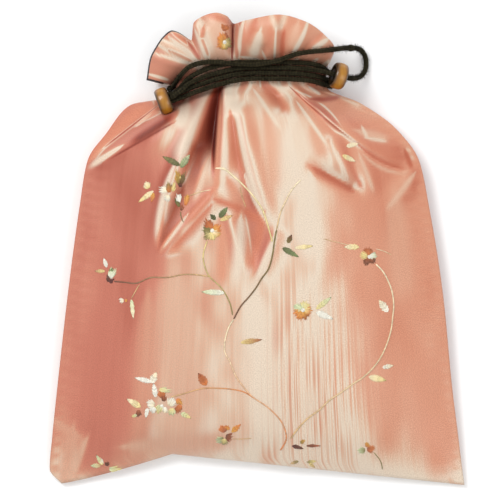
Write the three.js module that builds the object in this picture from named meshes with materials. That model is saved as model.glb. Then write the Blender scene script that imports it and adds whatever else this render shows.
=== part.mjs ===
// A drawstring pouch of shot silk, drawn shut and lying on its back, in millimetres.
// +X is the pouch's right as seen from the front, +Y runs from the bottom seam to the frill and +Z is up.
// The origin is on the surface it lies on, under the middle of its outline.
import * as THREE from "three";

// Driving dimensions
const SILK = 1.8; // upright thickness of a silk wall
const LINING = 1.3; // upright thickness of the lining
const LINING_GAP = 0.8; // clear space between silk and lining
const SEAM_GAP = 0.4; // clear space between front and back along the seam
const CASING_GAP = 1; // clear space between a panel and the frill gathered onto it
const LINING_SHOWS = 0.7; // how far the lining stands past the silk at the hem
const LINING_SINK = 1.6; // the two layers part this much more at their free edges
const LINING_START = 0.35; // share of the frill's height above which the lining is built
const LINING_PROBE = 0.04; // step used to find which way the frill's edge faces
const CORD_DIAMETER = 3.3;
const CORD_SIDES = 8;
const CORD_STEP = 8; // length of one straight piece of cord
const BEAD_DIAMETER = 18;
const BEAD_THICKNESS = 8.8;
const BEAD_HOLE = 8.8;
const BEAD_EDGE = 3.4; // rounding of the bead's rim
const BEAD_SIDES = 16;

// Places along the cloth as it was cut, measured up from the bottom seam
const CORNER = 9; // the bottom corners are rounded off below this
const CASING_LOW = 286;
const CASING_TOP = 302;
const HEM = 347;

// Sections across the pouch in plan: the side columns place the ends of a section, midY its middle.
const OUTLINE = [
  { up: 0, leftX: -132, leftY: -158.5, rightX: 140, rightY: -159.6, midY: -159 },
  { up: 9, leftX: -139.9, leftY: -149, rightX: 138.6, rightY: -150, midY: -150 },
  { up: 32, leftX: -138, leftY: -126, rightX: 135.6, rightY: -126, midY: -126 },
  { up: 64, leftX: -134.5, leftY: -93, rightX: 131.4, rightY: -93, midY: -92 },
  { up: 126, leftX: -127.4, leftY: -31, rightX: 125.2, rightY: -31, midY: -31 },
  { up: 188, leftX: -119.3, leftY: 29, rightX: 115.6, rightY: 29, midY: 29 },
  { up: 222, leftX: -114, leftY: 59, rightX: 109, rightY: 59, midY: 61 },
  { up: 250, leftX: -101, leftY: 78, rightX: 93, rightY: 81, midY: 86 },
  { up: 270, leftX: -84, leftY: 97, rightX: 69, rightY: 98, midY: 101 },
  { up: CASING_LOW, leftX: -57, leftY: 102, rightX: 47.5, rightY: 108, midY: 112 },
  { up: CASING_TOP, leftX: -55.5, leftY: 109.5, rightX: 46, rightY: 121, midY: 126 },
];
// Heights of the same sections: seam is that of the side seam, crown how far the front rises above it,
// and slope how far in from the side the front has risen so far.
const HEIGHTS = [
  { up: 0, seam: 2.6, crown: 0, slope: 50 },
  { up: 9, seam: 3.2, crown: 7, slope: 52 },
  { up: 32, seam: 5, crown: 21, slope: 56 },
  { up: 64, seam: 7, crown: 30, slope: 60 },
  { up: 126, seam: 9, crown: 35, slope: 62 },
  { up: 188, seam: 10, crown: 36, slope: 58 },
  { up: 222, seam: 11, crown: 34, slope: 54 },
  { up: 250, seam: 11, crown: 28, slope: 62 },
  { up: 270, seam: 10.5, crown: 17, slope: 84 },
  { up: CASING_LOW, seam: 9, crown: 10, slope: 17 },
  { up: CASING_TOP, seam: 9, crown: 10, slope: 17 },
];

// Folds of the front, as ridges (height above zero) and creases (below), each from a place near the
// neck to the place where it dies out. width is half the fold's breadth.
const FRONT_FOLDS = [
  { fold: "hollow under the left bead", fromX: -52, fromY: 102, toX: -70, toY: 95, height: -9, width: 10 },
  { fold: "left shoulder ridge", fromX: -78, fromY: 86, toX: -108, toY: 62, height: 4, width: 7 },
  { fold: "left shoulder crease", fromX: -57, fromY: 88, toX: -106, toY: 54, height: -6, width: 7 },
  { fold: "long left ridge", fromX: -33, fromY: 104, toX: -69, toY: 5, height: 7, width: 9 },
  { fold: "deep crease", fromX: -25, fromY: 108, toX: -40, toY: 44, height: -9, width: 7 },
  { fold: "upright ridge", fromX: -20, fromY: 110, toX: -23, toY: 33, height: 5, width: 7 },
  { fold: "middle ridge", fromX: -8, fromY: 100, toX: 8, toY: 9, height: 5, width: 8 },
  { fold: "middle crease", fromX: 12, fromY: 107, toX: 20, toY: 70, height: -4, width: 7 },
  { fold: "right ridge", fromX: 24, fromY: 108, toX: 62, toY: 76, height: 5, width: 7 },
  { fold: "right dent", fromX: 33, fromY: 56, toX: 64, toY: 42, height: -6, width: 9 },
  { fold: "right shoulder crease", fromX: 62, fromY: 74, toX: 100, toY: 54, height: -5, width: 8 },
];

// The hem of the frill, a row for each lobe and valley: s runs across the cloth from -1 to 1,
// z is the height of the cloth's underside.
const FRONT_HEM = [
  { s: -1.0, x: -73.5, y: 114, z: 17 },
  { s: -0.86, x: -73.2, y: 126, z: 22 },
  { s: -0.7, x: -61, y: 144.5, z: 26 },
  { s: -0.54, x: -46, y: 140, z: 21 },
  { s: -0.46, x: -42.5, y: 152, z: 27 },
  { s: -0.32, x: -27, y: 158.8, z: 32 },
  { s: -0.15, x: -16.5, y: 150.5, z: 26 },
  { s: -0.04, x: -8, y: 154, z: 31 },
  { s: 0.2, x: 14, y: 158.2, z: 34 },
  { s: 0.46, x: 32, y: 153.5, z: 31 },
  { s: 0.72, x: 46, y: 143.5, z: 26 },
  { s: 0.9, x: 52, y: 134, z: 19 },
  { s: 1.0, x: 49, y: 125, z: 11 },
];
const BACK_HEM = [
  { s: -1.0, x: -69, y: 112, z: 3 },
  { s: -0.7, x: -59, y: 137, z: 0 },
  { s: -0.45, x: -43, y: 139.5, z: 5 },
  { s: -0.2, x: -19, y: 146, z: 0 },
  { s: 0.1, x: 6, y: 149, z: 5 },
  { s: 0.4, x: 26, y: 145, z: 0 },
  { s: 0.7, x: 41, y: 134, z: 4 },
  { s: 1.0, x: 47, y: 121, z: 3 },
];

const GATHERS = 8; // small pleats in each panel along the drawstring casing
const FRONT_GATHER = 2.2; // their height above and below the middle
const BACK_GATHER = 1.9;
const GATHER_REACH = 24; // how far below the casing they run out
const GATHER_EDGE = 12; // they are flat this near the side seam
const FRILL_ARCH = 4; // bow of the frill between casing and hem
const BOTTOM_LIFT = 20; // the fullness of the pouch draws the bottom seam up between its corners
const BOTTOM_LIFT_AT = -0.42; // the place across the cloth where it is drawn up most
const BOTTOM_LIFT_REACH = 90;
const BOTTOM_SEAM_RISE = 5; // the same place stands this far off the surface
const BACK_TURN = 26; // the back leaves the surface this far in from the seam
const FOLD_FADE = 14; // the front's folds run out this far below the casing

// Number of cells across and along each sheet
const FRONT_CELLS = { across: 46, body: 17, casing: 2, frill: 5 };
const BACK_CELLS = { across: 30, body: 13, casing: 2, frill: 4 };

const mix = (a, b, share) => a + (b - a) * share;
const clamp01 = (value) => Math.min(1, Math.max(0, value));
const ease = (value) => clamp01(value) ** 2 * (3 - 2 * clamp01(value));
const roundOff = (value) => clamp01(value) * (2 - clamp01(value));

// One column of a table at a place between its rows, on a cubic that never overshoots a row.
function between(table, key, column, place) {
  const last = table.length - 1;
  let i = 0;
  while (i < last - 1 && place > table[i + 1][key]) i += 1;
  const step = (k) => table[k + 1][key] - table[k][key];
  const rise = (k) => (table[k + 1][column] - table[k][column]) / step(k);
  const slope = (k) => {
    if (k === 0) return rise(0);
    if (k === last) return rise(last - 1);
    const [before, after] = [rise(k - 1), rise(k)];
    return before * after <= 0 ? 0 : (2 * before * after) / (before + after);
  };
  const u = clamp01((place - table[i][key]) / step(i));
  const [a, b] = [table[i][column], table[i + 1][column]];
  const [da, db] = [slope(i) * step(i), slope(i + 1) * step(i)];
  return a + u * da + u * u * (3 * (b - a) - 2 * da - db) + u ** 3 * (2 * (a - b) + da + db);
}

// How far the bottom seam is drawn up at s, as a tent with a rounded top.
function tent(s) {
  const side = s < BOTTOM_LIFT_AT ? (s + 1) / (BOTTOM_LIFT_AT + 1) : (1 - s) / (1 - BOTTOM_LIFT_AT);
  return s < BOTTOM_LIFT_AT ? ease(side) : Math.sin((side * Math.PI) / 2) ** 1.3;
}

// The place of a section's point in plan, with the side seam's height and the distance in from it.
function plan(s, up) {
  const at = (column) => between(OUTLINE, "up", column, up);
  const height = (column) => between(HEIGHTS, "up", column, up);
  const lift = tent(s) * (1 - clamp01(up / BOTTOM_LIFT_REACH)) ** 2;
  const towardsSides = (at("leftY") * (s * s - s)) / 2 + (at("rightY") * (s * s + s)) / 2;
  const halfWidth = (at("rightX") - at("leftX")) / 2;
  return {
    x: mix(at("leftX"), at("rightX"), (s + 1) / 2),
    y: at("midY") * (1 - s * s) + towardsSides + BOTTOM_LIFT * lift,
    seam: height("seam") + BOTTOM_SEAM_RISE * lift,
    inward: (1 - Math.abs(s)) * halfWidth,
    crown: height("crown"),
    slope: height("slope"),
  };
}

// Height of the small pleats at s, which run out below the casing.
function gather(s, up, inward, depth) {
  const reach = Math.exp(-((Math.max(0, CASING_LOW - up) / GATHER_REACH) ** 2));
  return depth * Math.cos(GATHERS * Math.PI * s) * reach * ease(inward / GATHER_EDGE);
}

// Height that the long folds add at a place of the front.
function folds(x, y) {
  let height = 0;
  for (const f of FRONT_FOLDS) {
    const [dx, dy] = [f.toX - f.fromX, f.toY - f.fromY];
    const length = Math.hypot(dx, dy);
    const along = ((x - f.fromX) * dx + (y - f.fromY) * dy) / length ** 2;
    const off = ((x - f.fromX) * dy - (y - f.fromY) * dx) / length;
    const past = Math.max(0, -along, along - 1) * length;
    const fade = along > 0 ? 1 - ease((along - 0.45) / 0.55) : 1;
    height += f.height * fade * Math.exp(-((off * off + past * past) / f.width ** 2));
  }
  return height;
}

// Underside of the front below the frill.
function frontBody(s, up) {
  const p = plan(s, up);
  const dome = p.crown * roundOff(p.inward / p.slope);
  const foldShare = ease((CASING_LOW - up) / FOLD_FADE) * ease(p.inward / GATHER_EDGE);
  const z = p.seam + SEAM_GAP / 2 + dome + gather(s, up, p.inward, FRONT_GATHER);
  return new THREE.Vector3(p.x, p.y, z + folds(p.x, p.y) * foldShare * ease(up / 40));
}

// Underside of the back below the frill: flat, turned up to the seam at its edges.
function backBody(s, up) {
  const p = plan(s, up);
  const flatness = roundOff(Math.min(p.inward, up) / BACK_TURN);
  const turned = (p.seam - SEAM_GAP / 2 - SILK) * (1 - flatness);
  const pleat = gather(s, up, p.inward, BACK_GATHER);
  const lifted = BACK_GATHER * Math.exp(-((Math.max(0, CASING_LOW - up) / GATHER_REACH) ** 2));
  return new THREE.Vector3(p.x, p.y, turned + (lifted + pleat) * ease(p.inward / GATHER_EDGE));
}

// Underside of a frill: from the top of the casing at share 0 to the hem at share 1.
function frill(body, hem, s, share, arch) {
  const base = body(s, CASING_TOP);
  const edge = (column) => between(hem, "s", column, s);
  const rise = Math.sin((Math.min(share, 1) * Math.PI) / 2);
  return new THREE.Vector3(
    mix(base.x, edge("x"), share),
    mix(base.y, edge("y"), share),
    mix(base.z, edge("z"), rise) + arch * Math.sin(Math.PI * Math.min(share, 1)),
  );
}

const panelPoint = (body, hem, arch) => (s, up) =>
  up <= CASING_TOP ? body(s, up) : frill(body, hem, s, (up - CASING_TOP) / (HEM - CASING_TOP), arch);
const frontPoint = panelPoint(frontBody, FRONT_HEM, FRILL_ARCH);
const backPoint = panelPoint(backBody, BACK_HEM, 0);

// Evenly spaced places from start to end, without the first one.
const spread = (start, end, count) =>
  Array.from({ length: count }, (_, i) => mix(start, end, (i + 1) / count));

// Rows of a panel below the casing, closer together towards the neck.
function panelRows(cells) {
  const closer = (share) => mix(share, Math.sin((share * Math.PI) / 2), 0.6);
  const end = CASING_LOW - CASING_GAP / 2;
  return [0, CORNER, ...spread(0, 1, cells.body).map((share) => mix(CORNER, end, closer(share)))];
}

// Rows of the gathered casing and the frill above it.
function frillRows(cells) {
  const start = CASING_LOW + CASING_GAP / 2;
  const casing = spread(start, CASING_TOP, cells.casing);
  return [start, ...casing, ...spread(CASING_TOP, HEM, cells.frill)];
}

// A closed sheet of cloth: its underside is given by a function of s and up, its top lies above it.
function sheet(point, columns, rows, thickness) {
  const across = columns.length;
  const layer = across * rows.length;
  const positions = [];
  for (const rise of [0, thickness])
    for (const up of rows)
      for (const s of columns) {
        const p = point(s, up);
        positions.push(p.x, p.y, p.z + rise);
      }
  const index = [];
  const quad = (a, b, c, d) => index.push(a, b, c, a, c, d);
  for (let j = 0; j + 1 < rows.length; j += 1)
    for (let i = 0; i + 1 < across; i += 1) {
      const [a, b] = [j * across + i, j * across + i + 1];
      const [d, c] = [a + across, b + across];
      quad(a, d, c, b);
      quad(layer + a, layer + b, layer + c, layer + d);
    }
  const rim = [];
  for (let i = 0; i < across - 1; i += 1) rim.push(i);
  for (let j = 0; j < rows.length - 1; j += 1) rim.push(j * across + across - 1);
  for (let i = across - 1; i > 0; i -= 1) rim.push((rows.length - 1) * across + i);
  for (let j = rows.length - 1; j > 0; j -= 1) rim.push(j * across);
  rim.forEach((a, k) => {
    const b = rim[(k + 1) % rim.length];
    quad(a, b, layer + b, layer + a);
  });
  const geometry = new THREE.BufferGeometry();
  geometry.setAttribute("position", new THREE.Float32BufferAttribute(positions, 3));
  geometry.setIndex(index);
  geometry.computeVertexNormals();
  return geometry;
}

const columnsOf = (cells) => [-1, ...spread(-1, 1, cells.across)];

// The lining lies inside the frill and stands a little past the silk's free edges.
// side is -1 under the front's silk and 1 on top of the back's.
function liningPoint(body, hem, arch, side) {
  const clear = LINING_GAP + (side < 0 ? LINING : SILK);
  return (s, share) => {
    const p = frill(body, hem, s, share, arch);
    const inner = frill(body, hem, s, share - LINING_PROBE, arch);
    const beside = frill(body, hem, s * (1 - LINING_PROBE), share, arch);
    const atSide = ease((Math.abs(s) - 0.9) / 0.1);
    const atHem = ease((share - 0.8) / 0.2);
    const past = p.clone().sub(inner).setZ(0).setLength(LINING_SHOWS * atHem);
    const aside = p.clone().sub(beside).setZ(0).setLength(LINING_SHOWS * atSide);
    return p.add(past).add(aside).setZ(p.z + side * (clear + LINING_SINK * Math.max(atSide, atHem)));
  };
}

const liningRows = (cells) => spread(0, 1, cells.frill).filter((share) => share > LINING_START);

// Routes of the cords, by points of their middle line.
// The loop cord: out of the left of the neck, across it, over the frill, round the loop down on the
// surface, back through the right bead, across the neck again and into the left bead.
const LOOP_CORD = [
  [-59.4, 107.6, 9.3],
  [-57.4, 107.8, 14.2],
  [-54.7, 111.2, 20.8],
  [-51, 115.8, 27],
  [-45.2, 121.2, 29.8],
  [-36, 124.2, 28.8],
  [-26, 124.4, 29],
  [-15, 123.4, 29.1],
  [-2, 122.8, 28.8],
  [13.5, 125.4, 29.4],
  [20.5, 127.9, 29.8],
  [26.6, 129.8, 31],
  [34.5, 131.1, 31.6],
  [45.7, 132.2, 30.8],
  [53.4, 133.4, 25.6],
  [60.6, 134.6, 17.4],
  [67.5, 134.6, 9.4],
  [70.6, 133.3, 5.7],
  [72.9, 129.8, 3],
  [73.7, 125, 2],
  [72.9, 120.2, 3],
  [70.6, 116.7, 5.7],
  [67.6, 114.9, 9.8],
  [63.6, 114.2, 16.4],
  [59.2, 114.7, 22.2],
  [54.4, 115.6, 25.3],
  [49.4, 117, 26.3],
  [40, 119.2, 26],
  [29, 120.4, 25.4],
  [12, 121, 25.3],
  [-4, 121, 25.3],
  [-14, 120.2, 25.3],
  [-24, 118, 25.4],
  [-34, 115.2, 26],
  [-44, 111, 29],
  [-48.5, 107.5, 31.4],
  [-52, 104.4, 32.2],
  [-55.8, 101.6, 32.1],
  [-65.7, 97.2, 31.8],
];
// The neck cord: a turn round the neck, out of its left end and into its right end.
const NECK_CORD = [
  [-59.8, 103.8, 9.2],
  [-58.2, 103.8, 13],
  [-55.2, 104.9, 17.4],
  [-51.1, 107.9, 22.2],
  [-46.5, 113.2, 25.6],
  [-36, 119.2, 25.6],
  [-26, 122.3, 25.3],
  [-15, 124.2, 25.3],
  [-4, 124.7, 25.3],
  [12, 124.7, 25.3],
  [29, 124.2, 25.3],
  [37, 123.4, 24.6],
  [43, 121.7, 21.9],
  [46.2, 119.8, 17.5],
  [48.6, 118, 13.2],
  [50.2, 117, 9.3],
];
// The two ends of the other cord: out of the right of the neck, across it and into the left bead.
const TAIL_CORD_UPPER = [
  [50.2, 112.8, 9.2],
  [47.8, 113, 14],
  [43.6, 114.4, 19.8],
  [38.4, 115.6, 23.9],
  [30, 116.7, 25.3],
  [12.2, 117.3, 25.3],
  [-4.7, 117.3, 25.3],
  [-14.5, 116.4, 25.3],
  [-24.5, 114.1, 25.4],
  [-34, 111.2, 26],
  [-43, 107.9, 27.1],
  [-48.5, 105.7, 28],
  [-54.5, 103.3, 28.7],
  [-58.8, 101.9, 28.7],
  [-66.3, 98.9, 28.7],
];
const TAIL_CORD_LOWER = [
  [50.4, 109, 9.2],
  [47.6, 109.5, 14.6],
  [43, 110.6, 20.3],
  [37.4, 112, 23.9],
  [29.4, 113, 25.3],
  [12.2, 113.6, 25.3],
  [-4.7, 113.6, 25.3],
  [-14, 112.5, 25.3],
  [-23.5, 110.3, 25.7],
  [-33.4, 107.3, 27.2],
  [-41.9, 104.3, 28.3],
  [-48, 101.9, 28],
  [-53.2, 99.9, 28.7],
  [-57.4, 98.3, 28.7],
  [-65.1, 95.5, 28.7],
];
const LEFT_BEAD = { x: -62.3, y: 98.5, z: 29.7, axis: [0.938, 0.347, 0] };
const RIGHT_BEAD = { x: 54.6, y: 115.4, z: 25.3, axis: [0.92, -0.28, -0.26] };

function cord(route) {
  const places = route.map((place) => new THREE.Vector3(...place));
  const path = new THREE.CatmullRomCurve3(places, false, "centripetal");
  const turns = spread(0, 2 * Math.PI, CORD_SIDES);
  const radius = CORD_DIAMETER / 2;
  const rim = turns.map((turn) => new THREE.Vector2(radius * Math.cos(turn), radius * Math.sin(turn)));
  const section = new THREE.Shape(rim);
  const steps = Math.round(path.getLength() / CORD_STEP);
  return new THREE.ExtrudeGeometry(section, { steps, extrudePath: path, bevelEnabled: false });
}

// A turned bead with a rounded rim, its hole along the given axis.
function bead(place) {
  const [hole, rim, half] = [BEAD_HOLE / 2, BEAD_DIAMETER / 2, BEAD_THICKNESS / 2];
  const profile = [[hole, -half]];
  for (const turn of [-90, -60, -30, 0])
    profile.push([
      rim - BEAD_EDGE * (1 - Math.cos(THREE.MathUtils.degToRad(turn))),
      -half + BEAD_EDGE * (1 + Math.sin(THREE.MathUtils.degToRad(turn))),
    ]);
  for (const [radius, height] of profile.slice().reverse()) profile.push([radius, -height]);
  profile.push(profile[0]);
  const outline = profile.map(([radius, height]) => new THREE.Vector2(radius, height));
  const geometry = new THREE.LatheGeometry(outline, BEAD_SIDES);
  const axis = new THREE.Vector3(...place.axis).normalize();
  geometry.applyQuaternion(new THREE.Quaternion().setFromUnitVectors(new THREE.Vector3(0, 1, 0), axis));
  return geometry.translate(place.x, place.y, place.z);
}

const silk = new THREE.MeshStandardMaterial({ color: 0xd9917f, roughness: 0.38, metalness: 0 });
const blackCord = new THREE.MeshStandardMaterial({ color: 0x17150f, roughness: 0.8, metalness: 0 });
const wood = new THREE.MeshStandardMaterial({ color: 0xb5772c, roughness: 0.35, metalness: 0 });
const darkLining = new THREE.MeshStandardMaterial({ color: 0x1d1a1b, roughness: 0.6, metalness: 0 });

function piece(name, geometry, material) {
  const mesh = new THREE.Mesh(geometry, material);
  mesh.name = name;
  return mesh;
}

const [frontColumns, backColumns] = [columnsOf(FRONT_CELLS), columnsOf(BACK_CELLS)];
const front = sheet(frontPoint, frontColumns, panelRows(FRONT_CELLS), SILK);
const frontFrill = sheet(frontPoint, frontColumns, frillRows(FRONT_CELLS), SILK);
const back = sheet(backPoint, backColumns, panelRows(BACK_CELLS), SILK);
const backFrill = sheet(backPoint, backColumns, frillRows(BACK_CELLS), SILK);
const frontLiningPoint = liningPoint(frontBody, FRONT_HEM, FRILL_ARCH, -1);
const backLiningPoint = liningPoint(backBody, BACK_HEM, 0, 1);
const frontLining = sheet(frontLiningPoint, frontColumns, liningRows(FRONT_CELLS), LINING);
const backLining = sheet(backLiningPoint, backColumns, liningRows(BACK_CELLS), LINING);

const pouch = new THREE.Group();
pouch.add(piece("front_panel", front, silk));
pouch.add(piece("front_frill", frontFrill, silk));
pouch.add(piece("back_panel", back, silk));
pouch.add(piece("back_frill", backFrill, silk));
pouch.add(piece("front_lining", frontLining, darkLining));
pouch.add(piece("back_lining", backLining, darkLining));
pouch.add(piece("loop_cord", cord(LOOP_CORD), blackCord));
pouch.add(piece("neck_cord", cord(NECK_CORD), blackCord));
pouch.add(piece("tail_cord_upper", cord(TAIL_CORD_UPPER), blackCord));
pouch.add(piece("tail_cord_lower", cord(TAIL_CORD_LOWER), blackCord));
pouch.add(piece("left_bead", bead(LEFT_BEAD), wood));
pouch.add(piece("right_bead", bead(RIGHT_BEAD), wood));

export default pouch;
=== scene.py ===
# %% [markdown]
# # A drawstring pouch of shot silk
# The pouch lies on its back with its neck drawn shut by black cords. Its silk has a warp and a weft
# of different colours, and the light on its folds is painted into the colour: a cream highlight on each
# crest, pink or salmon on the flanks, and painted shade where they are steepest. This lesson dresses the
# solid model with fine cloth, braided cords, turned beads and hand embroidery.

import bpy
import numpy as np
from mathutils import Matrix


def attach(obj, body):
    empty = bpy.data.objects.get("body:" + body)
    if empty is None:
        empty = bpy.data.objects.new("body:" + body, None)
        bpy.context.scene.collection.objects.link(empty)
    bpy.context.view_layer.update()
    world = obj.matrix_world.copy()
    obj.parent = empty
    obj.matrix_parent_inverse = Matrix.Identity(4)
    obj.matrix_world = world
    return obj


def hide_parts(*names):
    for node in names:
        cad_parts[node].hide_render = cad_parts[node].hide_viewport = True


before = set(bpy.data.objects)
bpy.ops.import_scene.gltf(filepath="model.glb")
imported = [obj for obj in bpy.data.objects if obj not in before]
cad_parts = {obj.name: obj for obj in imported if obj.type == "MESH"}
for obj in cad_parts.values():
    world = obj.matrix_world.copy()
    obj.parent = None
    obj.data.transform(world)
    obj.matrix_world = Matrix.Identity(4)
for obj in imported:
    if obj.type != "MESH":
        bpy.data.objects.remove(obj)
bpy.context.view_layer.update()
scene = bpy.context.scene
MM = 0.001

# %% [markdown]
# ## The view
# The pouch was seen from straight above. A camera can be placed by eye, but here the scale is known: one
# pixel of the square picture covers 0.676 mm of the pouch. A long lens far away keeps the folds from
# leaning outwards, and its focal length follows from the width that it has to see.

# %% Camera above the pouch
PHOTO_WIDTH = 500
PIXEL = 0.676
ORIGIN_COLUMN, ORIGIN_ROW = 257.0, 248.5
CAMERA_HEIGHT = 2.4
SENSOR_WIDTH = 36.0


def from_photo(column, row):
    """Place in millimetres of a pixel: its distance from the origin's pixel times the size of a pixel."""
    return (np.asarray(column) - ORIGIN_COLUMN) * PIXEL, (ORIGIN_ROW - np.asarray(row)) * PIXEL


camera = bpy.data.objects.new("photo_camera", bpy.data.cameras.new("photo_camera"))
camera.data.sensor_width = SENSOR_WIDTH
camera.data.lens = SENSOR_WIDTH * CAMERA_HEIGHT / (PHOTO_WIDTH * PIXEL * MM)
middle_x, middle_y = from_photo(PHOTO_WIDTH / 2, PHOTO_WIDTH / 2)
camera.location = (middle_x * MM, middle_y * MM, CAMERA_HEIGHT)
scene.collection.objects.link(camera)
scene.camera = camera
print("lens of", round(camera.data.lens, 1), "mm")

# %% [markdown]
# ## Floor and light
# A product picture like this is taken on white paper under large soft lamps. The stronger one stands to
# the upper left and gives the folds their shading. The weaker one at the right and the pale surroundings
# fill the shadows.

# %% White paper, two soft lamps and pale surroundings
FLOOR_HALF = 3.0
PAPER_TONE, PAPER_ROUGHNESS = (0.93, 0.93, 0.93), 0.9
WORLD_STRENGTH = 0.80


def simple_material(name, colour, roughness):
    """A plain finish: one colour and one roughness."""
    material = bpy.data.materials.new(name)
    material.use_nodes = True
    shader = material.node_tree.nodes["Principled BSDF"]
    shader.inputs["Base Color"].default_value = (*colour, 1)
    shader.inputs["Roughness"].default_value = roughness
    return material


floor_mesh = bpy.data.meshes.new("paper_floor")
floor_corners = [(x * FLOOR_HALF, y * FLOOR_HALF, 0) for x, y in ((-1, -1), (1, -1), (1, 1), (-1, 1))]
floor_mesh.from_pydata(floor_corners, [], [(0, 1, 2, 3)])
floor = bpy.data.objects.new("paper_floor", floor_mesh)
floor.data.materials.append(simple_material("white_paper", PAPER_TONE, PAPER_ROUGHNESS))
scene.collection.objects.link(floor)

world = bpy.data.worlds.new("pale_room")
world.use_nodes = True
world.node_tree.nodes["Background"].inputs["Color"].default_value = (1, 1, 1, 1)
world.node_tree.nodes["Background"].inputs["Strength"].default_value = WORLD_STRENGTH
scene.world = world
scene.view_settings.view_transform = "Standard"


def soft_lamp(name, place, size, power):
    """A square lamp at place that faces the pouch."""
    lamp = bpy.data.objects.new(name, bpy.data.lights.new(name, "AREA"))
    lamp.data.size = size
    lamp.data.energy = power
    lamp.location = place
    direction = np.array(place) / np.linalg.norm(place)
    tip = float(np.arccos(direction[2]))
    turn = float(np.arctan2(direction[1], direction[0]))
    lamp.rotation_euler = (0, tip, turn)
    scene.collection.objects.link(lamp)


soft_lamp("key_lamp", place=(-0.9, 0.9, 1.5), size=0.9, power=21.0)
soft_lamp("fill_lamp", place=(1.2, -0.5, 1.6), size=1.2, power=8.0)
print("two lamps and pale surroundings")

# %% [markdown]
# ## Helpers for meshes
# Every new piece is a grid of points worked out as whole arrays, so one helper turns points and face
# indices into an object. A grid that closes on itself needs no extra points at its seam: the last column
# of faces simply uses the first column of points again.

# %% From arrays to an object


def mesh_object(name, points, quads, triangles=None, smooth=True):
    """An object from points in metres, four-cornered faces and, if given, three-cornered ones."""
    triangles = np.empty((0, 3), int) if triangles is None else triangles
    mesh = bpy.data.meshes.new(name)
    corners = np.concatenate([quads.ravel(), triangles.ravel()]).astype(np.int32)
    starts = np.concatenate([np.arange(len(quads)) * 4, quads.size + np.arange(len(triangles)) * 3])
    mesh.vertices.add(len(points))
    mesh.vertices.foreach_set("co", np.ascontiguousarray(points, np.float32).ravel())
    mesh.loops.add(len(corners))
    mesh.loops.foreach_set("vertex_index", corners)
    mesh.polygons.add(len(starts))
    mesh.polygons.foreach_set("loop_start", starts.astype(np.int32))
    mesh.polygons.foreach_set("use_smooth", np.full(len(starts), smooth))
    mesh.update(calc_edges=True)
    mesh.validate()
    piece = bpy.data.objects.new(name, mesh)
    scene.collection.objects.link(piece)
    return piece


def grid_quads(rows, columns, closed=False):
    """Corner indices of a grid's faces, counted row by row; closed joins the last column to the first."""
    index = np.arange(rows * columns).reshape(rows, columns)
    index = np.hstack([index, index[:, :1]]) if closed else index
    faces = np.stack([index[:-1, :-1], index[:-1, 1:], index[1:, 1:], index[1:, :-1]], axis=-1)
    return faces.reshape(-1, 4)


def dress(piece, slot, material, *nodes):
    """Gives a piece its finish and the body that it rides on, and hides the solids that it stands for.

    The slot is not used.
    """
    piece.data.materials.append(material)
    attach(piece, "root")
    if nodes:
        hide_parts(*nodes)


def unit(vectors):
    """Vectors divided by their lengths."""
    return vectors / np.maximum(np.linalg.norm(vectors, axis=-1, keepdims=True), 1e-12)


def linear(colour):
    """Linear light of a colour given as three numbers from 0 to 255."""
    share = np.asarray(colour, float) / 255
    return np.where(share <= 0.04045, share / 12.92, ((share + 0.055) / 1.055) ** 2.4)


print("helpers ready")

# %% [markdown]
# ## Cord finish
# The cords are braided from black yarn. The braid's form is in the mesh, so the finish only needs a dull
# black with a painted highlight on the raised strands, and fine fibres that break up the light. A picture
# of yarn would need unwrapping; noise on the object's own coordinates does not.

# %% Nodes that the finishes share


def mark_node(nodes, name):
    """Output of a node that reads one of the marks kept with a piece's points."""
    node = nodes.new("ShaderNodeAttribute")
    node.attribute_name = name
    return node.outputs["Fac"]


def stretched_noise(nodes, links, place, scale, detail, turn=0.0, dimensions="3D"):
    """Output of a noise on places that are multiplied by a scale and turned about the upright axis."""
    stretch = nodes.new("ShaderNodeMapping")
    stretch.inputs["Rotation"].default_value = (0, 0, turn)
    stretch.inputs["Scale"].default_value = scale
    noise = nodes.new("ShaderNodeTexNoise")
    noise.noise_dimensions = dimensions
    noise.inputs["Scale"].default_value = 1
    noise.inputs["Detail"].default_value = detail
    links.new(place, stretch.inputs["Vector"])
    links.new(stretch.outputs["Vector"], noise.inputs["Vector"])
    return noise.outputs["Fac"]


def ramp_node(nodes, stops):
    """A colour ramp through stops, each a position from 0 to 1 and a linear colour."""
    ramp = nodes.new("ShaderNodeValToRGB")
    while len(ramp.color_ramp.elements) < len(stops):
        ramp.color_ramp.elements.new(0.5)
    for element, (position, colour) in zip(ramp.color_ramp.elements, stops):
        element.position = position
        element.color = (*colour, 1)
    return ramp


def add_bump(nodes, links, height, strength, relief):
    """Tips the light on a finish by the slopes of a height; relief is the height of its peaks in metres."""
    bump = nodes.new("ShaderNodeBump")
    bump.inputs["Strength"].default_value = strength
    bump.inputs["Distance"].default_value = relief
    links.new(height, bump.inputs["Height"])
    links.new(bump.outputs["Normal"], nodes["Principled BSDF"].inputs["Normal"])


print("nodes for marks, noise, colour ramps and bumps")

# %% Black braid
BRAID_TONES = (0.001, 0.001, 0.0005), (0.052, 0.043, 0.021)
BRAID_FIBRES = (2400, 2400, 2400)
FIBRE_DETAIL, FIBRE_BUMP, FIBRE_RELIEF = 2, 0.35, 0.0003


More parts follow.
